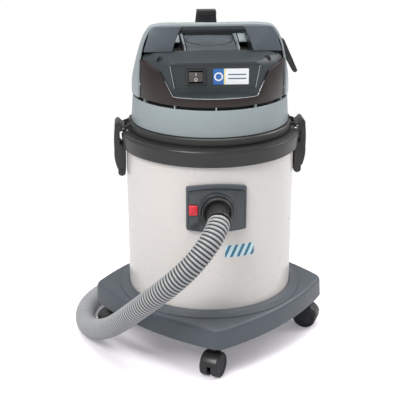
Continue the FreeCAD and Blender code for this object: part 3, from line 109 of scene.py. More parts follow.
class ColourSettings(bpy.types.PropertyGroup):
    """Colours of the mouldings."""

    slate: FloatVectorProperty(name="Slate", description="Trolley and handle", subtype="COLOR", size=3,
                               default=(0.067, 0.080, 0.094))
    charcoal: FloatVectorProperty(name="Charcoal", description="Front cover and inlet", subtype="COLOR",
                                  size=3, default=(0.036, 0.043, 0.047))
    black: FloatVectorProperty(name="Black", description="Collar, latches and castors", subtype="COLOR",
                               size=3, default=(0.023, 0.023, 0.022))
    grey: FloatVectorProperty(name="Light grey", description="Band and dome", subtype="COLOR", size=3,
                              default=(0.278, 0.320, 0.330))
    drum: FloatVectorProperty(name="Drum", description="Warm white of the drum", subtype="COLOR", size=3,
                              default=(0.665, 0.630, 0.600))
    hose: FloatVectorProperty(name="Hose", description="Crowns of the hose's ribs", subtype="COLOR", size=3,
                              default=(0.385, 0.390, 0.395))
    red: FloatVectorProperty(name="Button", description="Release button", subtype="COLOR", size=3,
                             default=(0.72, 0.035, 0.055))


class StageSettings(bpy.types.PropertyGroup):
    """Camera and light."""

    lens: FloatProperty(name="Lens", description="Focal length", default=86.65, unit="CAMERA")
    heading: FloatProperty(name="Heading", description="Turn of the camera from +Y towards +X",
                           default=math.radians(3.9), unit="ROTATION")
    pitch: FloatProperty(name="Pitch", description="How far the camera looks down",
                         default=math.radians(19.74), unit="ROTATION")
    sky: FloatProperty(name="Sky", description="Strength of the even light from all round", default=0.50)
    key: FloatProperty(name="Key", description="Strength of the main lamp", default=1.35)
    floor_lift: FloatProperty(name="Floor lift", description="White added to the floor for the camera alone",
                              default=0.20)
    segments: IntProperty(name="Round segments", description="Sides of the large round mouldings",
                          default=160)


# ---------------- modelling helpers
def activate(obj=None):
    """Leave edit mode and select the object alone, or nothing."""
    if bpy.context.object and bpy.context.object.mode != "OBJECT":
        bpy.ops.object.mode_set(mode="OBJECT")
    bpy.ops.object.select_all(action="DESELECT")
    if obj:
        obj.select_set(True)
        bpy.context.view_layer.objects.active = obj


def opened(obj):
    """Open an object for editing, all selected."""
    activate(obj)
    bpy.ops.object.mode_set(mode="EDIT")
    bpy.ops.mesh.select_all(action="SELECT")


def named(name):
    """Name the primitive that was just added and open it."""
    obj = bpy.context.object
    obj.name = obj.data.name = name
    opened(obj)
    return obj


def closed(obj):
    """Merge doubles, point the faces outwards, leave edit mode and put the object's place in its mesh."""
    bpy.ops.mesh.select_all(action="SELECT")
    bpy.ops.mesh.remove_doubles(threshold=MERGE * MM)
    bpy.ops.mesh.normals_make_consistent(inside=False)
    bpy.ops.object.mode_set(mode="OBJECT")
    bpy.ops.object.transform_apply(location=True, rotation=True, scale=True)
    return obj


def modify(obj, kind, **settings):
    """Add a modifier, set it and apply it."""
    activate(obj)
    bpy.ops.object.modifier_add(type=kind)
    modifier = obj.modifiers[-1]
    for key, value in settings.items():
        setattr(modifier, key, value)
    bpy.ops.object.modifier_apply(modifier=modifier.name)
    return obj


def cut(obj, tool, operation="DIFFERENCE"):
    """Boolean with another mesh, which is used up."""
    modify(obj, "BOOLEAN", object=tool, operation=operation, solver="EXACT")
    bpy.data.objects.remove(tool)
    return obj


def shared(obj, tool):
    return cut(obj, tool, "INTERSECT")


def tidied(obj, distance=0.1, angle=0.5):
    """Merge the crumbs that a boolean leaves, so that a bevel can run."""
    opened(obj)
    bpy.ops.mesh.remove_doubles(threshold=distance * MM)
    bpy.ops.mesh.dissolve_limited(angle_limit=math.radians(angle))
    bpy.ops.object.mode_set(mode="OBJECT")
    return obj


def soften(obj, width, segments=3, angle=40.0, clamp=True):
    """Round every edge that is sharper than the angle."""
    return modify(obj, "BEVEL", width=width * MM, segments=segments, limit_method="ANGLE",
                  angle_limit=math.radians(angle), use_clamp_overlap=clamp, miter_outer="MITER_ARC")


def turned(name, profile, segments=None, loop=True):
    """Lathe: a circle is extruded and scaled from point to point of a profile of radii and heights."""
    activate()
    profile = [(max(r, TINY) * MM, z * MM) for r, z in profile]
    r, z = profile[0]
    segments = segments or bpy.context.scene.vacuum_stage.segments
    bpy.ops.mesh.primitive_circle_add(vertices=segments, radius=r, location=(0, 0, z))
    obj = named(name)
    for r1, z1 in profile[1:] + (profile[:1] if loop else []):
        bpy.ops.mesh.extrude_region_move(TRANSFORM_OT_translate={"value": (0, 0, z1 - z)})
        bpy.ops.transform.resize(value=(r1 / r, r1 / r, 1), center_override=(0, 0, z1))
        r, z = r1, z1
    return closed(obj)


def block(name, near, far):
    """Box between two corners, which may be given in any order."""
    activate()
    bpy.ops.mesh.primitive_cube_add(size=1, location=[(a + b) / 2 * MM for a, b in zip(near, far)],
                                    scale=[abs(b - a) * MM for a, b in zip(near, far)])
    return closed(named(name))


def rod(name, radius, start, end, segments=48):
    """Cylinder between two points."""
    activate()
    start, end = (Vector([value * MM for value in place]) for place in (start, end))
    along = end - start
    bpy.ops.mesh.primitive_cylinder_add(vertices=segments, radius=radius * MM, depth=along.length,
                                        location=(start + end) / 2,
                                        rotation=along.to_track_quat("Z", "Y").to_euler())
    return closed(named(name))


def lofted(name, rings):
    """Skin: a circle gets the first ring's shape and is extruded into each later one. Its ends are filled."""
    activate()
    bpy.ops.mesh.primitive_circle_add(vertices=len(rings[0]), radius=1, fill_type="NGON")
    obj = named(name)
    mesh = bmesh.from_edit_mesh(obj.data)
    order = mesh.verts.layers.int.new("order")
    for k, vertex in enumerate(mesh.verts):
        vertex[order] = k
    bmesh.update_edit_mesh(obj.data)
    for step, ring in enumerate(rings):
        if step:
            bpy.ops.mesh.extrude_region_move()
        mesh = bmesh.from_edit_mesh(obj.data)
        order = mesh.verts.layers.int["order"]
        for vertex in mesh.verts:
            if vertex.select:
                vertex.co = [value * MM for value in ring[vertex[order]]]
        bmesh.update_edit_mesh(obj.data)
    return closed(obj)


def prism(name, points, facing, near, far):
    """An outline in the plane that faces X, Y or Z, extruded from near to far."""
    place = {"X": lambda u, v, d: (d, u, v), "Y": lambda u, v, d: (u, d, v), "Z": lambda u, v, d: (u, v, d)}
    return lofted(name, [[place[facing](u, v, depth) for u, v in points] for depth in (near, far)])


def curve(name, kind, route):
    """Curve object with one spline through a route of points."""
    data = bpy.data.curves.new(name, "CURVE")
    data.dimensions = "3D"
    spline = data.splines.new(kind)
    spline.points.add(len(route) - 1)
    for point, place in zip(spline.points, route):
        point.co = (*(value * MM for value in place), 1)
    obj = bpy.data.objects.new(name, data)
    bpy.context.scene.collection.objects.link(obj)
    return obj


def moved(obj, matrix):
    """Place a mesh by a matrix."""
    obj.data.transform(matrix)
    if matrix.determinant() < 0:
        obj.data.flip_normals()
    return obj


def shift(x, y, z):
    return Matrix.Translation((x * MM, y * MM, z * MM))


def spin(turn, axis="Z"):
    return Matrix.Rotation(turn, 4, axis)


def aimed(place, heading):
    """Matrix that stands a turned piece on a place in metres, along a heading."""
    return Matrix.Translation(place) @ heading.to_track_quat("Z", "Y").to_matrix().to_4x4()


FACING_FRONT = shift(0, 0, PORT) @ spin(QUARTER, "X")


def copied(obj, name, matrix):
    """A copy with its own mesh, placed by a matrix."""
    twin = bpy.data.objects.new(name, obj.data.copy())
    bpy.context.scene.collection.objects.link(twin)
    return moved(twin, matrix)


def joined(name, objs):
    activate(objs[0])
    for obj in objs[1:]:
        obj.select_set(True)
    bpy.ops.object.join()
    objs[0].name = name
    return objs[0]


def refined(node, width):
    """A CAD node's mesh, merged, with its edges broken."""
    twin = copied(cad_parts[node], node.capitalize(), Matrix())
    return soften(tidied(twin, 0.001, 0.3), width, 2)


def seated(obj, body, slot, *nodes, angle=35.0, finish=None):
    """Shade a finished piece, give it its material and seat it on its body in place of CAD nodes."""
    activate(obj)
    bpy.ops.object.shade_smooth_by_angle(angle=math.radians(angle))
    obj.data.materials.clear()
    obj.data.materials.append(finish_of(finish or slot))
    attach(obj, body)
    if nodes:
        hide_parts(*nodes)


# ---------------- outlines
def arc(start, through, end, steps):
    """Points of the circle's arc from start through a middle point to end, without its start."""
    (ax, ay), (bx, by), (cx, cy) = start, through, end
    d = 2 * (ax * (by - cy) + bx * (cy - ay) + cx * (ay - by))
    a, b, c = ax * ax + ay * ay, bx * bx + by * by, cx * cx + cy * cy
    ux = (a * (by - cy) + b * (cy - ay) + c * (ay - by)) / d
    uy = (a * (cx - bx) + b * (ax - cx) + c * (bx - ax)) / d
    first, middle, last = (math.atan2(y - uy, x - ux) for x, y in (start, through, end))
    sweep = (last - first) % (2 * math.pi)
    if (middle - first) % (2 * math.pi) > sweep:
        sweep -= 2 * math.pi
    radius = math.hypot(ax - ux, ay - uy)
    angles = [first + sweep * k / steps for k in range(1, steps + 1)]
    return [(ux + radius * math.cos(a), uy + radius * math.sin(a)) for a in angles]


def traced(*points, at=(0, 0)):
    """Outline beside an origin. Five numbers are an arc: a point on it, its end and its steps; seven tell
    its start first."""
    line = []
    for point in points:
        if len(point) == 2:
            line.append(point)
        else:
            line += arc(point[:-5] or line[-1], point[-5:-3], point[-3:-1], point[-1])
    return [(u + at[0], v + at[1]) for u, v in line]


def mirrored(points):
    """Close an outline that was given for its right half."""
    return points + [(-u, v) for u, v in reversed(points)]


def bend(before, corner, after, radius, steps=4):
    """Curve that rounds one corner and starts at most half an edge away."""
    here = Vector(corner)
    back, ahead = Vector(before) - here, Vector(after) - here
    reach = min(radius, back.length * 0.45, ahead.length * 0.45)
    start, end = here + back.normalized() * reach, here + ahead.normalized() * reach
    times = [step / steps for step in range(steps + 1)]
    return [tuple(start * (1 - t) ** 2 + here * 2 * t * (1 - t) + end * t * t) for t in times]


def rounded(points, radius, steps=4):
    """Round every corner of an outline."""
    result = []
    for k, corner in enumerate(points):
        result += bend(points[k - 1], corner, points[(k + 1) % len(points)], radius, steps)
    return result


def rectangle(u0, v0, u1, v1, radius):
    """Rectangle with rounded corners."""
    return rounded([(u0, v0), (u1, v0), (u1, v1), (u0, v1)], radius)


def smooth(points, steps):
    """Smooth line through a few points, by Catmull and Rom's rule."""
    line = []
    padded = [points[0]] + list(points) + [points[-1]]
    for a, b, c, d in zip(padded, padded[1:], padded[2:], padded[3:]):
        for k in range(steps):
            t = k / steps
            line.append(tuple(0.5 * (2 * q + (r - p) * t + (2 * p - 5 * q + 4 * r - s) * t * t
                                     + (3 * q - p - 3 * r + s) * t ** 3) for p, q, r, s in zip(a, b, c, d)))
    return line + [tuple(points[-1])]


def value_at(line, height):
    """First number of a line of (value, height) pairs at a height."""
    for (v0, h0), (v1, h1) in zip(line, line[1:]):
        if h0 <= height <= h1:
            return v0 + (v1 - v0) * (height - h0) / max(h1 - h0, 1e-9)
    return line[-1][0]


def soft_min(a, b, blend):
    """The smaller of two, with the corner between them rounded."""
    h = max(blend - abs(a - b), 0) / blend
    return min(a, b) - h * h * blend / 4


# ---------------- shader helpers
class Wire:
    """A shader output that takes part in sums: an expression on wires adds its Math nodes."""

    def __init__(self, finish, socket):
        self.finish = finish
        self.socket = socket

    def maths(self, operation, *others):
        return self.finish.node("ShaderNodeMath", {"operation": operation}, dict(enumerate((self, *others))))

    __add__ = partialmethod(maths, "ADD")
    __sub__ = partialmethod(maths, "SUBTRACT")
    __mul__ = partialmethod(maths, "MULTIPLY")
    __truediv__ = partialmethod(maths, "DIVIDE")
    __pow__ = partialmethod(maths, "POWER")
    __abs__ = partialmethod(maths, "ABSOLUTE")
    __lt__ = partialmethod(maths, "LESS_THAN")
    __gt__ = partialmethod(maths, "GREATER_THAN")


class Finish:
    """A material under construction, with its main shader."""

    def __init__(self, name, **inputs):
        self.material = bpy.data.materials.new(name)
        self.material.use_nodes = True
        self.tree = self.material.node_tree
        self.shader = self.tree.nodes["Principled BSDF"]
        for key, value in inputs.items():
            self.set(key.replace("_", " ").title().replace("Ior", "IOR"), value)

    def set(self, key, value):
        """Give one socket of the main shader a value or a link."""
        self.fill(self.shader.inputs[key], value)

    def surface(self, wire):
        """Let another shader than the main one reach the output."""
        self.tree.links.new(wire.socket, self.tree.nodes["Material Output"].inputs["Surface"])

    def fill(self, socket, value):
        if isinstance(value, Wire):
            self.tree.links.new(value.socket, socket)
        elif hasattr(value, "__len__") and len(value) == 3 and socket.type == "RGBA":
            socket.default_value = (*value, 1)
        else:
            socket.default_value = value

    def node(self, kind, settings=None, inputs=None, output=0):
        """Add a node: its settings first, then its sockets."""
        node = self.tree.nodes.new(kind)
        for key, value in (settings or {}).items():
            setattr(node, key, value)
        for key, value in (inputs or {}).items():
            self.fill(node.inputs[key], value)
        return Wire(self, node.outputs[output])

    def place(self, scale=None):
        """Object coordinates in metres, scaled if asked."""
        where = self.node("ShaderNodeTexCoord", output="Object")
        if scale:
            where = self.node("ShaderNodeMapping", None, {"Vector": where, "Scale": scale})
        return where

    def axis(self, letter, where=None):
        return self.node("ShaderNodeSeparateXYZ", None, {"Vector": where or self.place()}, output=letter)

    def noise(self, scale, detail=2.0, rough=0.5, where=None):
        return self.node("ShaderNodeTexNoise", None, {
            "Vector": where or self.place(), "Scale": scale, "Detail": detail, "Roughness": rough})

    def blend(self, factor, first, second):
        """Mix two colours."""
        return self.node("ShaderNodeMix", {"data_type": "RGBA"}, {0: factor, 6: first, 7: second}, output=2)

    def span(self, value, low, high, to_low=0.0, to_high=1.0):
        """Map a value from one range to another, held at the ends."""
        return self.node("ShaderNodeMapRange", None, {0: value, 1: low, 2: high, 3: to_low, 4: to_high})

    def even(self, noise, to_low=0.0, to_high=1.0):
        """Map the range where most of a noise lies to another."""
        return self.span(noise, 0.3, 0.7, to_low, to_high)

    def done(self, colour, height=None, depth=0.0, strength=1.0, roughness=None):
        """Give the shader its colour, roughness and a bump as deep as told, and hand over the material."""
        self.set("Base Color", colour)
        if roughness:
            self.set("Roughness", roughness)
        if height:
            self.set("Normal", self.node("ShaderNodeBump", None, {
                "Height": height, "Distance": depth * MM, "Strength": strength}))
        return self.material


def shade(colour, factor):
    return tuple(min(1.0, c * factor) for c in colour)


def moulded(name, colour, roughness, grain, grain_scale=900.0, mottle=0.06, dust_and_top_light=0.0, coat=0.0):
    """Moulded plastic: fine grain, faint clouding, gloss smears, and dusting with painted top light on upward
    faces.
    """
    finish = Finish(name, specular_ior_level=0.5, coat_weight=coat)
    clouds = finish.noise(9.0, 3.0)
    smears = finish.noise(26.0, 4.0, 0.6)
    tone = finish.blend(finish.even(clouds), shade(colour, 1 - mottle), shade(colour, 1 + mottle))
    if dust_and_top_light:
        up = finish.axis("Z", finish.node("ShaderNodeNewGeometry", output="Normal"))
        # What faces up is paled: partly settled dust, partly painted light that makes tops lighter than
        # walls.
        dust_and_top_light_mask = finish.span(up, 0.4, 0.95) * finish.span(smears, 0.35, 0.75, 0.4, 1.0) * dust_and_top_light
        tone = finish.blend(dust_and_top_light_mask, tone, (0.42, 0.42, 0.42))
    return finish.done(tone, grain and finish.noise(grain_scale), grain, 0.5,
                       finish.even(smears, roughness - 0.05, roughness + 0.06))


def sheet_metal(name, colour, roughness, brushed=(1, 1, 60)):
    """Bare metal with fine drawn lines and dull patches."""
    finish = Finish(name, metallic=1.0)
    lines = finish.noise(40.0, where=finish.place(brushed))
    dull = finish.noise(18.0, 3.0)
    return finish.done(finish.blend(finish.even(dull), shade(colour, 0.88), colour), lines, 0.04, 0.4,
                       finish.even(lines, roughness - 0.07, roughness + 0.1))


def rubbery(name, colour, roughness):
    """Soft rubber with a pitted skin and pale scuffs."""
    finish = Finish(name, specular_ior_level=0.35)
    pits = finish.noise(700.0, 3.0)
    scuffs = finish.span(finish.noise(60.0, 5.0, 0.7), 0.58, 0.75)
    return finish.done(finish.blend(scuffs * 0.35, colour, shade(colour, 3.0)), pits, 0.15, 0.6,
                       finish.even(pits, roughness - 0.06, roughness + 0.1))


def porous(name, colour):
    """Open foam: deep cells, darkened at their middles as painted shade."""
    finish = Finish(name, roughness=0.95, specular_ior_level=0.2)
    cells = finish.node("ShaderNodeTexVoronoi", None, {"Vector": finish.place(), "Scale": 420.0})
    # Painted shade: each cell darker towards its middle, where the pits lie.
    tone = finish.blend(finish.span(cells, 0.1, 0.6), shade(colour, 0.5), colour)
    return finish.done(tone, cells, 1.4, 0.8)


def pleated(name, colour):
    """Filter paper folded in pleats round its axis, with painted shade in the folds' valleys."""
    finish = Finish(name, roughness=0.9, specular_ior_level=0.2)
    x, y = finish.axis("X"), finish.axis("Y")
    fold = (y.maths("ARCTAN2", x) * 22.0).maths("PINGPONG", 1.0)
    fibres = finish.noise(500.0, 4.0)
    # Painted shade: paper darker towards each fold's valley.
    return finish.done(finish.blend(fold, shade(colour, 0.62), colour), fold + fibres * 0.2, 2.5, 0.9)


def wound(name, colour):
    """Varnished copper wire in close turns, with painted shade between them."""
    finish = Finish(name, metallic=0.8, roughness=0.35)
    turns = finish.node("ShaderNodeTexWave", {"bands_direction": "Z"},
                        {"Vector": finish.place(), "Scale": 160.0})
    # Painted shade: darker between the turns.
    return finish.done(finish.blend(turns, shade(colour, 0.5), colour), turns, 0.4, 0.8)


def ribbed(name, colour):
    """Hose wall: pale crowns, grooves darkened by painted shade that fades along the hose; depth stored on
    the mesh.
    """
    finish = Finish(name, specular_ior_level=0.45)
    groove, along = (finish.node("ShaderNodeAttribute", {"attribute_name": key}, output="Fac")
                     for key in ("groove", "along"))
    grime = finish.span(finish.noise(45.0, 4.0, 0.6), 0.35, 0.7, 0.0, 0.22)
    # Painted shade in the grooves: very dark near the inlet, milder further along.
    deep = finish.blend(finish.span(along, 0.42, 0.66), shade(colour, 0.07), shade(colour, 0.55))
    crown = finish.blend(grime, colour, shade(colour, 0.72))
    return finish.done(finish.blend(groove, crown, deep), finish.noise(600.0), 0.06, 0.4,
                       finish.span(groove, 0.0, 1.0, 0.42, 0.7))


def dressed_label(name):
    """Printed film: a blue field with a white ring, a yellow rule and slate bars on white."""
    finish = Finish(name, roughness=0.3, coat_weight=0.3)
    white = (0.80, 0.82, 0.84)
    low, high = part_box("label_plate")
    across = (finish.axis("X") - low.x) / (high.x - low.x)
    up = (finish.axis("Z") - low.z) / (high.z - low.z)
    tone = finish.blend(across < 0.30, white, (0.022, 0.130, 0.420))
    tone = finish.blend((abs(across - 0.325) < 0.018), tone, (0.78, 0.70, 0.22))
    ring = abs(((across - 0.15) * 2.2) ** 2.0 + (up - 0.5) ** 2.0 - 0.055) < 0.02
    tone = finish.blend(ring, tone, white)
    rows = up.maths("PINGPONG", 0.125)
    bars = (rows > 0.085) * (across > 0.42) * (across < 0.93) * (up > 0.22) * (up < 0.80)
    return finish.done(finish.blend(bars, tone, (0.10, 0.13, 0.17)), finish.noise(300.0), 0.03, 0.3)


def marked_rocker(name, colour):
    """Grey rocker with a moulded bar and ring, the signs for on and off."""
    finish = Finish(name, specular_ior_level=0.5)
    low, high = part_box("switch_rocker")
    half_line, off_middle, radius = 0.0007, 0.005, 0.0025
    x = finish.axis("X") - (low.x + high.x) / 2
    z = finish.axis("Z") - (low.z + high.z) / 2
    bar = (abs(x) < half_line) * (abs(z - off_middle) < 0.0028)
    ring = abs((x * x + (z + off_middle) ** 2.0) ** 0.5 - radius) < half_line
    mottle = finish.noise(120.0, 3.0)
    tone = finish.blend(finish.even(mottle), shade(colour, 0.9), shade(colour, 1.1))
    return finish.done(finish.blend(bar + ring, tone, (0.52, 0.52, 0.50)), finish.noise(800.0), 0.05, 0.4,
                       finish.even(mottle, 0.32, 0.45))


def painted_drum(name, colour):
    """Glossy warm white with a faint orange-peel, rubbed marks low down and teal slants on the front."""
    finish = Finish(name, specular_ior_level=0.5, coat_weight=0.25, coat_roughness=0.12)
    x, y, z = (finish.axis(letter) for letter in "XYZ")
    clouds = finish.noise(6.0, 3.0)
    rubbed = finish.span(finish.noise(38.0, 6.0, 0.7), 0.60, 0.72) * finish.span(z, 0.26, 0.13, 0.0, 0.10)
    tone = finish.blend(finish.even(clouds), shade(colour, 0.995), shade(colour, 1.005))
    tone = finish.blend(rubbed, tone, shade(colour, 0.80))
    pitch, lean = 0.007, 0.45
    slant = (x - z * lean).maths("PINGPONG", pitch) > 0.0038
    patch = (abs(x - 0.048) < 0.030) * (abs(z - 0.252) < 0.013) * (y < 0.0)
    tone = finish.blend(patch, tone, (0.56, 0.74, 0.80))
    tone = finish.blend(patch * slant, tone, (0.020, 0.150, 0.250))
    return finish.done(tone, finish.noise(320.0), 0.05, 0.35,
                       finish.even(finish.noise(22.0, 4.0), 0.27, 0.30))


def finish_of(slot):
    """The material of a slot, made the first time that it is asked for."""
    name = "Vacuum_" + slot
    made = bpy.data.materials.get(name)
    if made:
        return made
    c = bpy.context.scene.vacuum_colours
    makers = {
        "slate_plastic": lambda: moulded(name, c.slate, 0.40, 0.10, 700, dust_and_top_light=0.05),
        "drum_white": lambda: painted_drum(name, c.drum),
        "black_plastic": lambda: moulded(name, c.black, 0.36, 0.07, dust_and_top_light=0.03),
        "charcoal_plastic": lambda: moulded(name, c.charcoal, 0.27, 0.03, coat=0.5),
        "gloss_brown": lambda: moulded(name, (0.018, 0.0100, 0.0085), 0.32, 0, mottle=0.03),
        "deck_slate": lambda: moulded(name, (0.029, 0.037, 0.041), 0.40, 0.05),
        # Darker slate: painted shade for the grip's shadowed underside.
        "shaded_grip_slate": lambda: moulded(name, (0.040, 0.047, 0.052), 0.36, 0.05),
        # Light grey beads: painted highlights on the cover's rounded edges.
        "painted_edge_highlight": lambda: moulded(name, (0.36, 0.38, 0.38), 0.20, 0, coat=1.0),
        "seal_rubber": lambda: rubbery(name, (0.020, 0.020, 0.020), 0.75),
        "spring_steel": lambda: sheet_metal(name, (0.45, 0.45, 0.46), 0.3),
        "hose_grey": lambda: ribbed(name, c.hose),
        "zinc_steel": lambda: sheet_metal(name, (0.62, 0.63, 0.64), 0.32),
        "dark_screw": lambda: sheet_metal(name, (0.10, 0.10, 0.11), 0.4, (30, 30, 30)),
        "band_grey": lambda: moulded(name, c.grey, 0.38, 0.06, 800, mottle=0.025),
        "shell_grey": lambda: moulded(name, c.grey, 0.26, 0.03, 800, mottle=0.03, coat=0.2),
        "label_film": lambda: dressed_label(name),
        "motor_metal": lambda: sheet_metal(name, (0.55, 0.55, 0.54), 0.42, (60, 60, 4)),
        "foam_grey": lambda: porous(name, (0.16, 0.16, 0.17)),
        "filter_paper": lambda: pleated(name, (0.62, 0.58, 0.48)),
        "button_red": lambda: moulded(name, c.red, 0.33, 0.05, mottle=0.05, coat=0.2),
        "rocker_grey": lambda: marked_rocker(name, (0.066, 0.063, 0.060)),
        "copper_winding": lambda: wound(name, (0.62, 0.26, 0.10)),
        "float_white": lambda: moulded(name, (0.70, 0.70, 0.68), 0.45, 0.06, 500),
        "castor_plastic": lambda: moulded(name, shade(c.black, 0.8), 0.34, 0.06, dust_and_top_light=0.08),
        "wheel_rubber": lambda: rubbery(name, (0.030, 0.031, 0.033), 0.55),
    }
    return makers[slot]()


# ---------------- stage
class VACUUM_OT_stage(bpy.types.Operator):
    """Camera, pale floor and soft studio light"""

    bl_idname = "vacuum.stage"
    bl_label = "Stage"

    def execute(self, context):
        scene = context.scene
        settings = scene.vacuum_stage
        activate()
        place = (-0.153, -1.944, 0.9997)        # metres, as all of the stage
        bpy.ops.object.camera_add(location=place,
                                  rotation=(QUARTER - settings.pitch, 0, -settings.heading))
        scene.camera = context.object
        scene.camera.data.lens = settings.lens
        scene.camera.data.sensor_width = 36
        for name, place, height, size, power in (
                ("Key", (-1.6, -2.2, 2.9), 0.30, 1.35, 62), ("Rim", (2.4, 0.6, 1.9), 0.35, 1.4, 26),
                ("Top", (0.1, -0.2, 3.2), 0.30, 2.4, 46)):
            turn = (Vector(place) - Vector((0, 0, height))).to_track_quat("Z", "Y").to_euler()
            bpy.ops.object.light_add(type="AREA", location=place, rotation=turn)
            context.object.name = name
            context.object.data.size = size
            context.object.data.energy = power * settings.key
        self.sky(scene, settings)
        self.floor(context, settings)
        return {"FINISHED"}

    def sky(self, scene, settings):
        """Even light from all round, which the camera sees as white."""
        world = scene.world or bpy.data.worlds.new("Studio")
        scene.world = world
        world.use_nodes = True
        nodes, links = world.node_tree.nodes, world.node_tree.links
        nodes.clear()
        rays, lit, seen, mix, out = (nodes.new("ShaderNode" + kind) for kind in (
            "LightPath", "Background", "Background", "MixShader", "OutputWorld"))
        lit.inputs["Color"].default_value = (0.97, 0.98, 1.0, 1)
        lit.inputs["Strength"].default_value = settings.sky
        seen.inputs["Color"].default_value = (1, 1, 1, 1)
        links.new(rays.outputs["Is Camera Ray"], mix.inputs[0])
        links.new(lit.outputs[0], mix.inputs[1])
        links.new(seen.outputs[0], mix.inputs[2])
        links.new(mix.outputs[0], out.inputs["Surface"])
        scene.view_settings.view_transform = "Standard"

    def floor(self, context, settings):
        """Floor that looks ever whiter to the camera away from the vacuum."""
        bpy.ops.mesh.primitive_plane_add(size=30, location=(0, 0, -0.0002))
        floor = context.object
        floor.name = "Floor"
        paint = Finish("Floor_paint", roughness=0.85, specular_ior_level=0.1)
        seen = paint.node("ShaderNodeLightPath", output="Is Camera Ray")
        paint.set("Base Color", paint.blend(seen, (0.72, 0.72, 0.73), (0.93, 0.895, 0.945)))
        paint.set("Emission Color", (1.0, 0.965, 1.0))
        paint.set("Emission Strength", seen * settings.floor_lift)
        fade_from, fade_to = 0.45, 1.05
        distance = (paint.axis("X") ** 2.0 + paint.axis("Y") ** 2.0) ** 0.5
        white = paint.node("ShaderNodeEmission", None, {"Color": (1, 1, 1), "Strength": 1.0})
        paint.surface(paint.node("ShaderNodeMixShader", None, {
            0: seen * paint.span(distance, fade_from, fade_to), 1: Wire(paint, paint.shader.outputs[0]),
            2: white}))
        floor.data.materials.append(paint.material)


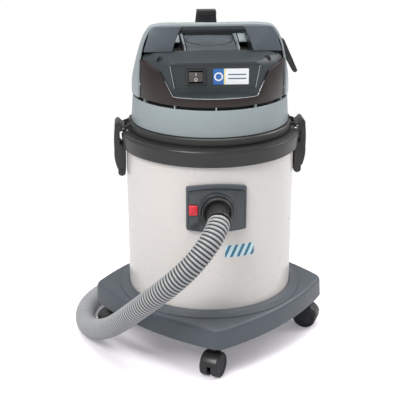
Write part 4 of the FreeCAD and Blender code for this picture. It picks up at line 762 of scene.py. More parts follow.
# ---------------- hose and inlet
class VACUUM_OT_hose(bpy.types.Operator):
    """Ribbed suction hose along its route, with its plug, collar ring and tool cuff"""

    bl_idname = "vacuum.hose"
    bl_label = "Hose"

    def execute(self, context):
        settings = context.scene.vacuum_hose
        route = curve("Hose_route", "NURBS", HOSE_ROUTE)
        route.data.splines[0].order_u = 3
        route.data.splines[0].use_endpoint_u = True
        route.data.resolution_u = 16
        context.view_layer.update()
        line = bpy.data.meshes.new_from_object(route)
        path = [vertex.co.copy() for vertex in line.vertices]
        steps = [(b - a).length for a, b in zip(path, path[1:])]
        total = sum(steps)
        count = round(total / settings.pitch)
        pitch = total / count
        low, shoulder = HOSE_RADIUS - settings.depth / MM, HOSE_RADIUS - 0.1
        cell = [(radius, share * pitch / MM) for radius, share in (
            (low, 0), (low, 0.13), (shoulder, 0.32), (HOSE_RADIUS, 0.50), (shoulder, 0.68), (low, 0.87),
            (low, 1))]
        tube = turned("Hose_tube", cell, 36, loop=False)
        modify(tube, "ARRAY", count=count, use_relative_offset=False, use_constant_offset=True,
               constant_offset_displace=(0, 0, pitch), use_merge_vertices=True, merge_threshold=MERGE * MM)
        self.narrow_neck(tube, settings.neck)
        self.store_shades(tube.data, settings.depth)
        modify(tube, "CURVE", object=route, deform_axis="POS_Z")
        bpy.data.objects.remove(route)
        seated(tube, "trolley", "hose_grey", "hose", angle=60)

        pieces = [self.grip(), self.collar_ring(path, steps, settings.neck), self.tool_cuff(path)]
        return {"FINISHED"}

    def narrow_neck(self, tube, length):
        """Thin the stretch that the grip covers and close both ends."""
        opened(tube)
        bpy.ops.mesh.select_mode(type="FACE")
        bpy.ops.mesh.select_all(action="DESELECT")
        mesh = bmesh.from_edit_mesh(tube.data)
        for face in mesh.faces:
            if face.calc_center_median().z < length:
                face.select_set(True)
        bmesh.update_edit_mesh(tube.data)
        bpy.ops.transform.resize(value=(0.80, 0.80, 1), center_override=(0, 0, 0))
        bpy.ops.mesh.select_mode(type="EDGE")
        bpy.ops.mesh.select_all(action="DESELECT")
        bpy.ops.mesh.select_non_manifold(extend=False)
        bpy.ops.mesh.edge_face_add()
        bpy.ops.mesh.select_all(action="SELECT")
        bpy.ops.mesh.normals_make_consistent(inside=False)
        bpy.ops.object.mode_set(mode="OBJECT")

    def store_shades(self, mesh, depth):
        """Write how deep each point lies in a groove, and how far along the hose it is."""
        groove, along = (mesh.attributes.new(key, "FLOAT", "POINT") for key in ("groove", "along"))
        for k, vertex in enumerate(mesh.vertices):
            sunk = HOSE_RADIUS * MM - math.hypot(vertex.co.x, vertex.co.y)
            groove.data[k].value = min(1.0, max(0.0, sunk / depth))
            along.data[k].value = vertex.co.z

    def grip(self):
        """Dark grip behind the hose, with ribs along it."""
        flutes, crest, valley = 26, 20.2, 18.9
        points = []
        for k in range(4 * flutes):
            radius, turn = crest if k % 4 in (1, 2) else valley, QUARTER * k / flutes
            points.append((radius * math.cos(turn), radius * math.sin(turn)))
        front = 22 - box("hose_connector")[0].y
        body = lofted("Hose_grip", [[(x * scale, y * scale, z) for x, y in points]
                                    for scale, z in ((1.0, 198.5), (1.0, front - 1), (0.93, front))])
        plug = turned("Hose_plug", [(17.8, 164), (23.6, 164), (23.8, 199.5), (17.8, 199.5)], 64)
        ribs = [turned("Plug_rib", traced((23.2, 0), (23.85, 0.8), (23.85, 2.2), (23.2, 3), at=(0, z)), 64)
                for z in (169, 178)]
        whole = moved(joined("Hose_grip", [body, plug] + ribs), FACING_FRONT)
        seated(whole, "trolley", "black_plastic", "hose_connector", angle=40)
        return whole

    def collar_ring(self, path, steps, reach):
        """Black ring where the pale hose leaves the grip, that distance along the path."""
        for a, b, step in zip(path, path[1:], steps):
            if reach <= step:
                break
            reach -= step
        profile = [(16.5, -3.5), (22.5, -3.5), (23.8, -2.2), (24, 0), (23.6, 1.6), (16.5, 1.6)]
        ring = turned("Hose_ring", profile, 72)
        seated(moved(ring, aimed(a.lerp(b, reach / step), (b - a).normalized())), "trolley", "black_plastic")
        return ring

    def tool_cuff(self, path):
        """Tapered cuff at the far end, with finger ribs and a lip."""
        profile = [(17.6, -4), (21.9, -4), (21.9, 4)]
        for k in range(4):
            profile += traced((21.0, 0), (21.0, 2), (21.9, 3), (21.9, 5), at=(0, 6 + 6.5 * k))
        profile += [(21.6, 34), (20.3, 62), (21.0, 64), (21.0, 69), (20.0, 70), (17.6, 70)]
        cuff = turned("Tool_cuff", profile, 72)
        moved(cuff, aimed(path[-1], (path[-1] - path[-2]).normalized()))
        seated(cuff, "trolley", "black_plastic", "hose_tool_cuff")
        return cuff


class VACUUM_OT_inlet(bpy.types.Operator):
    """Inlet plate on the drum, its socket ring and the red release button"""

    bl_idname = "vacuum.inlet"
    bl_label = "Inlet"

    def execute(self, context):
        button_low, button_high = box("inlet_button")
        # The black middle plate shows only as a thin rim between frame and face: painted shade in the step
        # between them.
        rim, gap, face = (self.plate(*sizes) for sizes in (
            ("Inlet_frame", 0.0, 8.5, 0.0), ("Inlet_gap_shade", 4.0, 9.2, 2.8), ("Inlet_face", 5.3, 14.0, 2.8)))
        for plate in (rim, gap, face):
            cut(plate, rod("Socket_hole", 33.0, *PORT_ENDS, 96))
            cut(plate, block("Button_hole", (button_low.x - 0.6, button_low.y - 30, button_low.z - 0.6),
                             (button_high.x + 0.6, button_high.y + 30, button_high.z + 0.6)))
        soften(rim, 1.6)
        soften(face, 1.6)
        drum = TANK_HIGH.x
        hub = turned("Inlet_hub", [(31.2, drum + 2), (37.2, drum + 2), (35.0, 195.5), (31.2, 195.5)], 96)
        soften(moved(hub, FACING_FRONT), 1.2, 2, clamp=False)
        seated(joined("Inlet_plate", [face, hub]), "trolley", "charcoal_plastic", "inlet_housing")
        seated(rim, "trolley", "slate_plastic")
        # Black rim between frame and face: painted shade.
        seated(gap, "trolley", "black_plastic")

        back = SOCKET_LOW.y - SOCKET_HIGH.y
        socket = turned("Inlet_socket_ring", traced(
            (24.1, back), (30.9, back), (30.9, -4), (30.1, -1), (29.0, 0), (26.2, 0), (25.2, -1.5),
            (24.8, -6), (24.1, -10), at=(0, -SOCKET_LOW.y)), 96)
        seated(moved(socket, FACING_FRONT), "trolley", "black_plastic", "inlet_socket")

        button = soften(block("Release_button", button_low, button_high), 1.6, angle=28, clamp=False)
        seated(button, "inlet_button", "button_red", "inlet_button")
        return {"FINISHED"}

    def plate(self, name, inset, proud, drop):
        """Plate with a bowed top, lower by the drop, and a bowed bottom, that follows the drum."""
        drum, bow, half_w, half_h = TANK_HIGH.x, 7, box("inlet_housing")[1].x - inset, 44 - inset
        high = half_h - drop
        outline = traced((half_w, high), (0, high + bow, -half_w, high, 20), (-half_w, -half_h),
                         (0, -half_h - bow * 0.4, half_w, -half_h, 20))
        points = [(x, PORT + z) for x, z in rounded(outline, 6, 3)]
        plate = prism(name, points, "Y", -drum - proud - 20, 45 - drum)
        ends = (0, 0, PORT - 100), (0, 0, PORT + 100)
        shared(plate, rod("Plate_face", drum + proud, *ends, 256))
        cut(plate, rod("Plate_back", drum + 0.4, *ends, 256))
        return tidied(plate, 0.2)


# ---------------- drum, collar and trolley
class VACUUM_OT_drum(bpy.types.Operator):
    """Drum with a rounded foot, and the black collar on its rim with the latch pockets"""

    bl_idname = "vacuum.drum"
    bl_label = "Drum and collar"

    def execute(self, context):
        radius, top, wall, foot, hollow = TANK_HIGH.x, TANK_HIGH.z - TANK_LOW.z, 3.5, 12, 8.5
        room = radius - wall
        drum = turned("Drum", traced(
            (0, 0), (radius - foot, 0), (radius - foot * ARC_MIDDLE, foot * ARC_MIDDLE, radius, foot, 8),
            (radius, top), (room, top), (room, wall + hollow),
            (room - hollow * ARC_MIDDLE, wall + hollow * ARC_MIDDLE, room - hollow, wall, 6), (0, wall),
            at=(0, TANK_LOW.z)), loop=False)
        cut(drum, rod("Drum_port", 31.8, *PORT_ENDS, 72))
        seated(drum, "trolley", "drum_white", "tank", angle=30)

        collar_low, collar_high = box("tank_collar")
        radius += 0.1
        top, depth = collar_high.z, collar_high.z - collar_low.z
        collar = turned("Drum_collar", traced(
            (radius, -depth), (182.6, -depth), (183.8, 1.2 - depth), (184.2, 6 - depth), (186.0, -9.5),
            (186.2, -6.5), (185.8, -5.0), (collar_high.x, -2.5, 185.2, 0, 8), (183.5, -1.2), (159.0, -1.2),
            (159.0, -4.6), (radius, -4.6), at=(0, top)))
        for side in (-1, 1):
            for name, near, half, low in (("Latch_pocket", 174.2, 24.8, collar_low.z - BEYOND),
                                          ("Ear_pocket", 171, 30.8, top - 6.5)):
                cut(collar, block(name, (side * near, -half, low), (side * FAR, half, top + BEYOND)))
        seated(collar, "trolley", "black_plastic", "tank_collar", angle=30)
        return {"FINISHED"}


class VACUUM_OT_trolley(bpy.types.Operator):
    """Four-cornered trolley base with its drum well, ribs and castor sockets"""

    bl_idname = "vacuum.trolley"
    bl_label = "Trolley"

    reach = 250         # from the axis to where the bowed sides would meet
    side = 203          # from the axis to the middle of a side
    corner = 24         # radius of the corners
    well = 175.3        # radius of the well that the drum stands in

    def execute(self, context):
        low = box("base_trolley")[0].z
        top, rim, steps = low + 44, 8, 6
        rings = [self.ring(-1.3, low), self.ring(-2.5, low + 1.2), self.ring(-0.4, top - rim)]
        for turn in (QUARTER * k / steps for k in range(1, steps + 1)):
            rings.append(self.ring(rim * (1 - math.cos(turn)), top - rim + rim * math.sin(turn)))
        body = lofted("Trolley_base", rings)
        cut(body, lofted("Trolley_hollow", [self.ring(1.8, low - BEYOND), self.ring(4.5, top - 5.5),
                                            self.ring(7.0, top - 4.0)]))
        cut(body, rod("Drum_well", self.well, (0, 0, low + 37), (0, 0, top + 50), 160))
        well = turned("Well", traced((0, 32.8), (self.well, 32.8), (self.well, 44), (179.5, 42), (179.5, 6),
                                     (175.0, 6), (175.0, 28.8), (0, 28.8), at=(0, low)), loop=False)
        step = turned("Trolley_step", traced(
            (172.2, -3), (197.2, -3), (197.2, 0.4), (196.6, 0.6), (196.0, 1.6, 195.5, 3.0, 194.2, 3.6, 4),
            (188.0, 5.2, 182.5, 8.0, 179.0, 10.0, 6), (177.5, 10.5), (176.2, 10.2), (self.well, 9),
            (self.well, -3), at=(0, top)))
        parts = [body, well, step] + self.ribs(low, top)
        seated(joined("Trolley_base", parts), "trolley", "slate_plastic", "base_trolley", angle=30)
        return {"FINISHED"}

    def ring(self, inset, z, steps=14):
        """Plan of the base: four bowed sides that rounded corners join, moved in by the inset."""
        half = self.reach / math.sqrt(2)
        bow = self.side - half
        radius = (half ** 2 + bow ** 2) / (2 * bow)
        away = radius - self.side
        b = 2 * away * math.cos(QUARTER / 2)
        spot = (-b + math.sqrt(b * b - 4 * (away ** 2 - (radius - self.corner) ** 2))) / 2
        lean = math.asin(spot * math.sin(QUARTER / 2) / (radius - self.corner))
        sweep = QUARTER - 2 * lean
        points = []

        def add(cx, cy, reach, turn):
            points.append((cx + (reach - inset) * math.cos(turn), cy + (reach - inset) * math.sin(turn), z))

        for k in range(4):
            facing = QUARTER * (k + 0.5)
            axis = facing + QUARTER / 2
            for step in range(steps + 1):
                add(-away * math.cos(facing), -away * math.sin(facing), radius,
                    facing - lean + 2 * lean * step / steps)
            for step in range(1, steps):
                add(spot * math.cos(axis), spot * math.sin(axis), self.corner,
                    axis - sweep / 2 + sweep * step / steps)
        return points

    def ribs(self, low, top):
        """Webs and castor bosses under the top."""
        parts = []
        for k in range(4):
            web = block("Web", (178, -1.8, low + 4), (228, 1.8, top - 5))
            boss = rod("Boss", 12, (CASTOR_REACH, 0, low + 0.4), (CASTOR_REACH, 0, top - 5), 32)
            spoke = block("Spoke", (4, -1.5, low + 12), (176, 1.5, low + 30))
            parts += [moved(part, spin(QUARTER * k)) for part in (web, boss, spoke)]
        return parts


class VACUUM_OT_castors(bpy.types.Operator):
    """Four twin-wheel castors, one modelled and the others copied"""

    bl_idname = "vacuum.castors"
    bl_label = "Castors"

    trail = 18.5        # from the stem to the wheels' axle
    axle = 25           # height of the axle
    gap = 8             # between the twin wheels
    width = 16.5        # of one wheel
    # where each castor stands and which way it trails, in degrees
    turns = {"front": (-90, -118), "right": (0, -23), "back": (90, 104), "left": (180, 197)}

    def execute(self, context):
        wheel = self.wheel()
        housing = self.housing()
        for name, (corner, turn) in self.turns.items():
            corner = math.radians(corner)
            place = (shift(CASTOR_REACH * math.cos(corner), CASTOR_REACH * math.sin(corner), 0)
                     @ spin(math.radians(turn)))
            castor = "castor_" + name
            seated(copied(housing, "Castor_" + name, place), castor, "castor_plastic", castor + "_housing")
            for side, mirror in (("_a", 1), ("_b", -1)):
                seated(copied(wheel, "Wheel_" + name + side, place @ Matrix.Diagonal((1, mirror, 1, 1))),
                       "wheel_" + name + side, "wheel_rubber", castor + "_wheel" + side)
        bpy.data.objects.remove(wheel)
        bpy.data.objects.remove(housing)
        return {"FINISHED"}

    def wheel(self):
        """Wheel with a rounded tread, a dished face and a hub cap."""
        w = self.width
        disc = turned("Wheel", traced(
            (3.1, 0), (7.0, 0), (7.0, 6), (18.0, 6), (18.0, 0), (23.2, 0), (24.5, 0.6, 25.0, 2.2, 4),
            (25.0, w - 3.0, 24.3, w - 0.9, 22.5, w, 5), (20.2, w), (19.6, w - 1.2), (11.0, w - 1.2),
            (9.8, w - 0.2), (3.1, w - 0.2)), 64)
        cap = turned("Wheel_cap", [(0, w - 2.2), (6.0, w - 2.2), (5.6, w - 0.1), (0, w)], 40, loop=False)
        place = shift(self.trail, self.gap / 2, self.axle) @ spin(-QUARTER, "X")
        return moved(joined("Wheel", [disc, cap]), place)

    def across(self, name, radius, near, far, segments=72):
        """Rod along the axle."""
        return rod(name, radius, (self.trail, near, self.axle), (self.trail, far, self.axle), segments)

    def housing(self):
        """Hood over the wheels, web between them and neck round the stem."""
        half, web, outer, inner = self.gap / 2 + self.width * 0.82, self.gap / 2 - 0.6, 27.3, 25.8
        hood = soften(self.across("Hood", outer, -half, half), 2.2, angle=28, clamp=False)
        for side in (-1, 1):
            cut(hood, self.across("Hood_room", inner, *sorted((side * web, side * (half + BEYOND)))))
        mouth = traced((4, -5), (30, -5), (30, 31), (8, 27), (-16, 6), (-16, -5), at=(self.trail, 0))
        cut(hood, prism("Mouth", mouth, "Y", -half - 1, half + 1))
        neck = rod("Neck", 9.5, (0, 0, 40), (0, 0, 70.5))
        profile = [(5.8, 64), (10.5, 64), (11.2, 65.2), (11.2, 69), (10.2, 70.6), (5.8, 70.6)]
        lip = turned("Neck_lip", profile, 48)
        tie = block("Tie", (-9.0, -web, 36), (self.trail, web, 60))
        for part in (neck, tie):
            cut(part, self.across("Wheel_room", inner, -30, 30))
        hub = self.across("Hub", 9, -web, web, 40)
        return joined("Castor", [hood, neck, lip, tie, hub])


# ---------------- head
class VACUUM_OT_band(bpy.types.Operator):
    """Pale band round the motor, with the ribs of its air slot and a black ring behind them, painted shade
    for the inside of the slot
    """

    bl_idname = "vacuum.band"
    bl_label = "Band"

    def execute(self, context):
        low, top, wall, taper = 485, 537.5, 3, 3.3
        foot = box("head_band")[1].x
        crown, slot = foot - taper, SHELL_LOW.z
        parts = [turned("Head_band", [
            (foot - wall, low), (foot - 1.2, low), (foot - 0.3, low + 0.4), (foot, low + 1.4),
            (crown, top - 1.4), (crown - 0.4, top - 0.4), (crown - 1.2, top), (crown - wall, top)])]
        for k in range(12):
            rib = block("Slot_rib", (crown - 9, -1.3, top - 1), (crown - 1.2, 1.3, slot))
            parts.append(moved(rib, spin(math.pi / 6 * k)))
        seated(joined("Head_band", parts), "head", "band_grey", "head_band", angle=30)
        # Black ring behind the slot ribs: painted shade for the dark inside of the slot.
        edge = crown - wall - 0.2
        shelf = turned("Band_slot_shade", [(145, top - 4), (edge, top - 4), (edge, top - 1.5), (148.5, top - 1.5),
                                      (148.5, slot + 2), (145, slot + 2)])
        seated(shelf, "head", "black_plastic")

        gland = turned("Lead_gland", traced(
            (3.9, -8), (7.9, -8), (7.9, 1), (11, 1.4), (11, 4), (9.8, 4.6), (7.4, 5), (6.8, 9), (6.2, 9.4),
            (6.2, 13), (5.8, 13.4), (5.8, 17), (5.4, 17.4), (5.2, 25), (3.9, 25),
            at=(0, foot - taper / 2)), 48)
        moved(gland, shift(0, 0, (low + top) / 2) @ spin(-QUARTER, "X"))
        seated(gland, "head", "black_plastic", "cable_gland")
        return {"FINISHED"}


class VACUUM_OT_dome(bpy.types.Operator):
    """Pale dome over the motor, with the opening of the hand recess"""

    bl_idname = "vacuum.dome"
    bl_label = "Dome"

    radius = 161.2      # of the drum that the flanks and the back close in on
    flank = [(174, 0), (166, 26), (156, 53), (148.5, 78), (142.5, 98), (136.5, 115), (130, 128.2),
             (122.5, 137.2), (112, 140.6), (95, 142.4), (76, 143.2)]
    back = [(174, 0), (162.5, 30), (150, 83), (136, 112), (118, 131), (90, 140.5), (78, 143.2)]
    slope_start = -29   # the crown falls by the slope behind this
    slope = 0.202

    def execute(self, context):
        low, top = SHELL_LOW.z, SHELL_HIGH.z
        body = self.solid("Dome", 0.0)
        cut(body, self.solid("Dome_inside", 3.5))
        slant = [(-250, low - BEYOND), (-62, low - BEYOND), (-62, 638.5), (-59.2, top - 4),
                 (-59.2, top + BEYOND), (-250, top + BEYOND)]
        cut(body, prism("Dome_front", slant, "X", -250, 250))
        hole = rectangle(-80.3, -33, 80.3, 78.3, 6)
        cut(body, prism("Dome_hole", hole, "Z", HANDLE_LOW.z + 5, top + BEYOND))
        soften(tidied(body), 0.9, 2, 50)
        seated(body, "head", "shell_grey", "head_shell", angle=32)
        return {"FINISHED"}

    def solid(self, name, inset, points=144):
        """The dome as a filled body: a drum that flanks and a back close in on, lower towards the back."""
        base = SHELL_LOW.z
        flank, back = smooth(self.flank, 6), smooth(self.back, 6)
        heights = [0, 12, 24] + [h for _, h in flank if h > 28]
        rings = []
        for height in heights:
            ring = []
            for turn in (4 * QUARTER * k / points for k in range(points)):
                c, s = math.cos(turn), math.sin(turn)
                reach = soft_min(self.radius, value_at(flank, height) / max(abs(c), 1e-6), 12)
                if s > 0:
                    reach = soft_min(reach, value_at(back, height) / max(s, 1e-6), 22)
                x, y = (reach - inset) * c, (reach - inset) * s
                sink = self.fall(y) / (SHELL_HIGH.z - base)
                ring.append((x, y, base + height * (1 - sink) - (inset if height else 0)))
            rings.append(ring)
        rim, crown = rings[-1], base + heights[-1] - inset
        for scale in (0.85, 0.70, 0.55, 0.40, 0.25, 0.10):
            rings.append([(x * scale, y * scale, crown - self.fall(y * scale)) for x, y, _ in rim])
        return lofted(name, rings)

    def fall(self, y):
        """How much lower the crown lies there than at the front."""
        return self.slope * max(0.0, y - self.slope_start)


class VACUUM_OT_cover(bpy.types.Operator):
    """Dark front cover: a deck that rounds over to a glossy saddle, the pocket in it and the panel"""

    bl_idname = "vacuum.cover"
    bl_label = "Front cover"

    def execute(self, context):
        cover_low, _ = box("front_cover")
        low, front = cover_low.z, -cover_low.y
        core = self.core(low, front - 3)
        mouth, pocket = ((81.7, 559), (104.7, 660)), ((82.1, 562.5), (104.7, 660))
        cut(core, self.wedge(-172, PANEL_FRAME, mouth, pocket, 6))
        panel = (78.5, 573), (86.5, 621.5)
        cut(tidied(core), self.wedge(-140, PANEL, panel, panel, 2))
        soften(tidied(core), 1.4, 3, 42)
        cut(core, block("Switch_hole", (-52.7, -FAR, 583.3), (-21.3, -94, 610.7)))
        screws = []
        for x, y in ((-104.5, -103), (104.5, -103)):
            cut(core, rod("Screw_recess", 6.6, (x, y, 622.5), (x, y, 650), 32))
            screws.append(moved(self.screw(), shift(x, y, 622.7)))
        seated(joined("Cover_screws", screws), "head", "dark_screw", "cover_screws", angle=30)
        cut(core, block("Cover_inside", (-98, -112, low - 1), (98, -60, DECK - 13)))
        seated(core, "head", "charcoal_plastic", "front_cover", angle=30, finish="deck_slate")
        seated(self.saddle(low, front), "head", "charcoal_plastic", angle=30, finish="gloss_brown")
        # Painted highlights: light grey beads along the pocket's lip and the panel's sides.
        seated(self.glints(front), "head", "charcoal_plastic", angle=30, finish="painted_edge_highlight")
        return {"FINISHED"}

    def screw(self):
        """Screw with a crossed recess."""
        head = turned("Cover_screw", [(0, -4), (3.0, -4), (3.2, 0.2), (4.6, 0.4), (4.4, 1.6), (3.0, 2.4),
                                      (0, 2.6)], 48, loop=False)
        for turn in (0.3, 0.3 + QUARTER):
            cut(head, moved(block("Screw_slot", (-2.6, -0.4, 1), (2.6, 0.4, 4)), spin(turn)))
        return head

    def core(self, low, radius):
        """Drum with a crowned rim, cut by the deck's slope and the dome's front."""
        deep, high, steps = 21, 25, 8
        crown = [(radius - deep * (1 - math.cos(turn)), DECK - high * (1 - math.sin(turn)))
                 for turn in (QUARTER * k / steps for k in range(steps + 1))]
        body = turned("Front_cover", [(0, low), (radius, low)] + crown + [(0, DECK)], 224, loop=False)
        back = -62.2
        side = [(-FAR, low - BEYOND), (back, low - BEYOND), (back, DECK + BEYOND),
                (DECK_EDGE, DECK + BEYOND), (DECK_EDGE, DECK - 0.1),
                (-FAR, DECK - DECK_SLOPE * (DECK_EDGE + FAR))]
        return tidied(shared(body, prism("Cover_side", side, "X", -FAR, FAR)))

    def saddle(self, low, front):
        """Glossy raised skin with two lobes beside the pocket and a band under it."""
        body = rod("Cover_saddle", front, (0, 0, low), (0, 0, low + 90), 224)
        back, crest = -63, 619
        side = [(-FAR, low - BEYOND), (back, low - BEYOND), (back, crest), (-80, crest), (-FAR, 573.4)]
        shared(body, prism("Saddle_side", side, "X", -FAR, FAR))
        mouth = rounded(mirrored([(82.4, 560.5), (135.2, 660)]), 6)
        cut(body, prism("Saddle_mouth", mouth, "Y", -FAR, -50))
        cut(body, rod("Saddle_room", front - 8, (0, 0, low - BEYOND), (0, 0, low + 100), 160))
        return soften(tidied(body), 2.0)

    def glints(self, front):
        """Thin light-grey beads on the pocket's lip and beside the panel: painted highlights for the glints
        on rounded edges.
        """
        proud, steps, half = 0.4, 14, 82.4

        def on_cover(x, z, radius):
            return x, proud - math.sqrt(radius ** 2 - x * x), z

        def flank(side):
            return [on_cover(side * (half + 14 * rise), 561.2 + 27 * rise, front - 3 * rise)
                    for rise in (k / steps for k in range(steps + 1))]

        foot = [on_cover(half * (k / 12 - 1), 560.2, front) for k in range(1, 24)]
        parts = [self.bead("Pocket_lip_highlight", flank(-1)[::-1] + foot + flank(1), 0.65)]
        for side in (-1, 1):
            route = [(side * x, PANEL_FRAME + 0.2, z) for x, z in ((86.6, 619), (79, 576))]
            parts.append(self.bead("Panel_edge_highlight", route, 0.6))
        return joined("Cover_glints", parts)

    def bead(self, name, route, width):
        """Round bead that follows a route of points."""
        line = curve(name, "POLY", route)
        line.data.bevel_depth = width * MM
        line.data.bevel_resolution = 2
        line.data.use_fill_caps = True
        activate(line)
        bpy.ops.object.convert(target="MESH")
        return bpy.context.object

    def wedge(self, front, back, near, far, radius):
        """Tapered cutter with rounded corners, given by half widths and heights at its two ends."""
        rings = []
        for y, ((foot, z0), (head, z1)) in ((front, near), (back, far)):
            outline = rounded([(-foot, z0), (foot, z0), (head, z1), (-head, z1)], radius, 5)
            rings.append([(x, y, z) for x, z in outline])
        return lofted("Wedge", rings)


class VACUUM_OT_handle(bpy.types.Operator):
    """Handle plate with its arched window, the grip behind it and the lined hand recess"""

    bl_idname = "vacuum.handle"
    bl_label = "Handle and recess"

    floor = 627         # of the hand recess

    def execute(self, context):
        foot, top, lean, half = HANDLE_LOW.z, HANDLE_HIGH.z + 1, 14, 136
        outline = mirrored([(half, foot)] + bend((half, foot), (120.8, top), (0, top), 13, 6))
        plate = prism("Handle_plate", outline, "Y", -100, -50)
        side = [(DECK_EDGE, foot), (DECK_EDGE + lean, top + 0.1), (-58.8, top + 0.1), (-62.3, top - 6.5),
                (-62.3, foot)]
        shared(plate, prism("Plate_side", side, "X", -FAR, FAR))
        window = mirrored(traced((80, foot - 1), (77, foot + 10), (70.6, foot + 27, 59, top + 2, 8)))
        cut(plate, prism("Window", window, "Y", -120, -40))
        soften(tidied(plate), 1.5)
        seated(plate, "head", "slate_plastic", "carry_handle", angle=32)
        self.grip(top)
        self.recess()
        return {"FINISHED"}

    def grip(self, top):
        """Bar behind the window's upper edge, under the dome's front lip, with a fillet at each end. Its
        darker slate is painted shade for its downward-facing front.
        """
        under, lid, half = 666.8, 679.9, 76.8
        profile = [(-60.6, top - 1), (-60, top - 6), (-57.5, under + 4), (-53, under + 0.8), (-45, under),
                   (-35, under + 2), (-33.4, under + 6), (-33.6, lid), (-56, lid), (-59, top - 0.4)]
        parts = [prism("Handle_grip", profile, "X", -half, half)]
        for side in (-1, 1):
            fillet = [(side * x, under + rise) for x, rise in (
                (56, 5), (half, 5), (half, -12), (73.5, -8), (70, -2.2), (65, 1.2))]
            parts.append(prism("Grip_fillet", fillet, "Y", -59.5, -36))
        whole = soften(joined("Handle_grip", parts), 0.9, 2, 38)
        # The grip's darker finish is painted shade, not a different plastic.
        seated(whole, "head", "slate_plastic", angle=32, finish="shaded_grip_slate")

    def recess(self):
        """Black well with a grey lid, a round plate on it, pale rails and pale shelves beside them."""
        floor = self.floor
        well = block("Recess_well", (-80, -61.7, floor - 3), (80, 78, 680))
        slope = [(-29, 679.5), (90, 655.4), (90, 700), (-29, 700)]
        for room in (block("Well_room", (-77, -70, floor), (77, 75, 690)),
                     block("Grip_room", (-81, -70, 665.5), (81, -30.8, 690)),
                     prism("Well_slope", slope, "X", -90, 90)):
            cut(well, room)
        seated(well, "head", "black_plastic", "hand_tray", angle=30)

        near, far, rise = (-60, 637.5), (73.5, 642.5), 5
        lid = prism("Recess_lid", rounded([(near[0], floor), near, far, (far[0], floor)], 2), "X", -50, 50)
        soften(lid, 1.0, 2, 50)
        seat = shift(0, 23.5, 640.6) @ spin(math.atan2(rise, far[0] - near[0]), "X")
        groove = turned("Disc_groove", [(47, -2), (49, -2), (49, 2), (47, 2)], 96)
        cut(lid, moved(groove, seat))
        disc = turned("Recess_disc", [(0, -1), (46.6, -1), (46.6, 0.4), (46, 0.9), (0, 0.9)], 96, loop=False)
        seated(joined("Recess_lid", [lid, moved(disc, seat)]), "head", "slate_plastic", angle=32)

        rails = []
        for side in (-1, 1):
            rings = [[(side * x, y, z) for x, z in ((inner, floor), (outer, floor), (outer, high),
                                                    (outer - 1.8, high), (inner, high - 3))]
                     for y, inner, outer, high in ((-58, 51.5, 55.5, 640), (0, 52, 57, 644.5),
                                                   (74.2, 52.5, 58.5, 652))]
            rails.append(lofted("Recess_rail", rings))
            shelf = [(12, 637.5), (12, 640), (74.5, 651), (74.5, 637.5)]
            rails.append(prism("Recess_shelf", shelf, "X", *sorted((side * 61, side * 76.8))))
        seated(soften(joined("Recess_rails", rails), 0.8, 2, 50), "head", "shell_grey", angle=32)


class VACUUM_OT_switch(bpy.types.Operator):
    """Switch bezel, rocker and label on the panel"""

    bl_idname = "vacuum.switch"
    bl_label = "Switch and label"

    def execute(self, context):
        low, high = box("switch_bezel")
        rocker_low, rocker_high = box("switch_rocker")
        x0, x1 = rocker_low.x + 0.7, rocker_high.x - 0.7
        z0, z1 = low.z + 3.2, high.z - 3.2
        hole = (x0, -FAR, z0), (x1, high.y - 4, z1)
        bezel = prism("Switch_bezel", rectangle(low.x, low.z, high.x, high.z, 2.5), "Y", low.y, PANEL)
        sleeve = block("Switch_sleeve", (x0 - 1.4, PANEL - 1, z0 - 1.2), (x1 + 1.4, high.y, z1 + 1.2))
        parts = [cut(part, block("Switch_room", *hole)) for part in (bezel, sleeve)]
        seated(soften(joined("Switch_bezel", parts), 0.6, 2), "head", "black_plastic", "switch_bezel")
        seated(refined("switch_rocker", 0.8), "rocker", "rocker_grey", "switch_rocker")

        low, high = box("label_plate")
        label = prism("Label", rectangle(low.x, low.z, high.x, high.z, 1.8), "Y", low.y, high.y)
        seated(soften(label, 0.2, 1, 50), "head", "label_film", "label_plate")
        return {"FINISHED"}


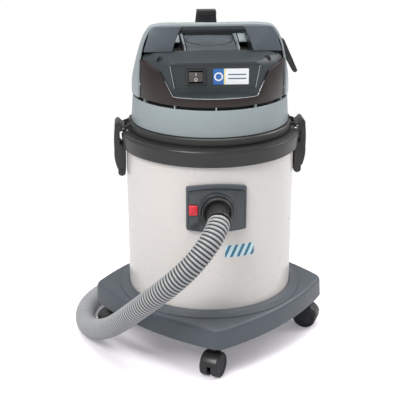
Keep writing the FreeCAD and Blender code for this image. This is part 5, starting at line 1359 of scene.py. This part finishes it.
class VACUUM_OT_latches(bpy.types.Operator):
    """Two over-centre latches and the cable hooks"""

    bl_idname = "vacuum.latches"
    bl_label = "Latches and hooks"

    def execute(self, context):
        x, z, half = 180, 469.5, 23
        outline = traced(
            (2.5, 4.6), (10.5, 12.5), (15.8, 10.5, 18.2, 3.0, 6), (19.8, -15.0, 20.0, -45.0, 6),
            (19.0, -70.0, 15.0, -85.0, 6), (13.5, -90.0), (13.2, -101.0), (5.5, -106.0, -2.0, -101.5, 6),
            (-3.6, -86.0), (-3.6, -42.5), (2.0, -39.0), (8.5, -33.0), (8.5, -9.0), (0.5, -4.4), (-4.0, -1.5),
            (-4.0, 1.5), (-1.5, 4.4), at=(x, z))
        latch = prism("Latch_right", outline, "Y", -half, half)
        for side in (-1, 1):
            cut(latch, block("Tab_side", (x - 12, side * (half - 8), z - 112),
                             (x + 30, side * (half + 2), z - 87)))
        cut(latch, block("Finger_dip", (x + 16.8, -13, z - 73), (x + 30, 13, z - 20)))
        cut(latch, rod("Pin_hole", 2.06, (x, -40, z), (x, 40, z), 24))
        soften(tidied(latch), 1.6, 3, 36)
        other = copied(latch, "Latch_left", spin(2 * QUARTER))
        seated(latch, "latch_right", "black_plastic", "latch_right", angle=32)
        seated(other, "latch_left", "black_plastic", "latch_left", angle=32)
        for hook in ("rear_hook", "side_hook"):
            seated(refined(hook, 1.6), "head", "black_plastic", hook)
        return {"FINISHED"}


class VACUUM_OT_inner(bpy.types.Operator):
    """Give the frame's own parts, such as the motor and the filter, the finishes of their slots"""

    bl_idname = "vacuum.inner"
    bl_label = "Inner parts"

    def execute(self, context):
        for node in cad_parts.values():
            if not node.hide_render:
                for k, material in enumerate(node.data.materials):
                    node.data.materials[k] = finish_of(material.name.split(".")[0])
        return {"FINISHED"}


# ---------------- the add-on
GROUPS = {"vacuum_hose": HoseSettings, "vacuum_colours": ColourSettings, "vacuum_stage": StageSettings}
OPERATORS = (VACUUM_OT_stage, VACUUM_OT_hose, VACUUM_OT_inlet, VACUUM_OT_drum, VACUUM_OT_trolley,
             VACUUM_OT_castors, VACUUM_OT_band, VACUUM_OT_dome, VACUUM_OT_cover, VACUUM_OT_handle,
             VACUUM_OT_switch, VACUUM_OT_latches, VACUUM_OT_inner)


class VACUUM_PT_build(bpy.types.Panel):
    """Buttons that build the vacuum piece by piece"""

    bl_idname = "VACUUM_PT_build"
    bl_label = "Shop Vacuum"
    bl_space_type = "VIEW_3D"
    bl_region_type = "UI"
    bl_category = "Vacuum"

    def draw(self, context):
        column = self.layout.column(align=True)
        for operator in OPERATORS:
            column.operator(operator.bl_idname)
        for key, group in GROUPS.items():
            panel = self.layout.box()
            for setting in group.__annotations__:
                panel.prop(getattr(context.scene, key), setting)


CLASSES = (*GROUPS.values(), *OPERATORS, VACUUM_PT_build)


def register():
    for cls in CLASSES:
        bpy.utils.register_class(cls)
    for key, group in GROUPS.items():
        setattr(bpy.types.Scene, key, PointerProperty(type=group))


def unregister():
    for key in GROUPS:
        delattr(bpy.types.Scene, key)
    for cls in reversed(CLASSES):
        bpy.utils.unregister_class(cls)


def main():
    register()
    for operator in OPERATORS:
        getattr(bpy.ops.vacuum, operator.bl_idname.split(".")[1])()


if __name__ == "__main__":
    main()
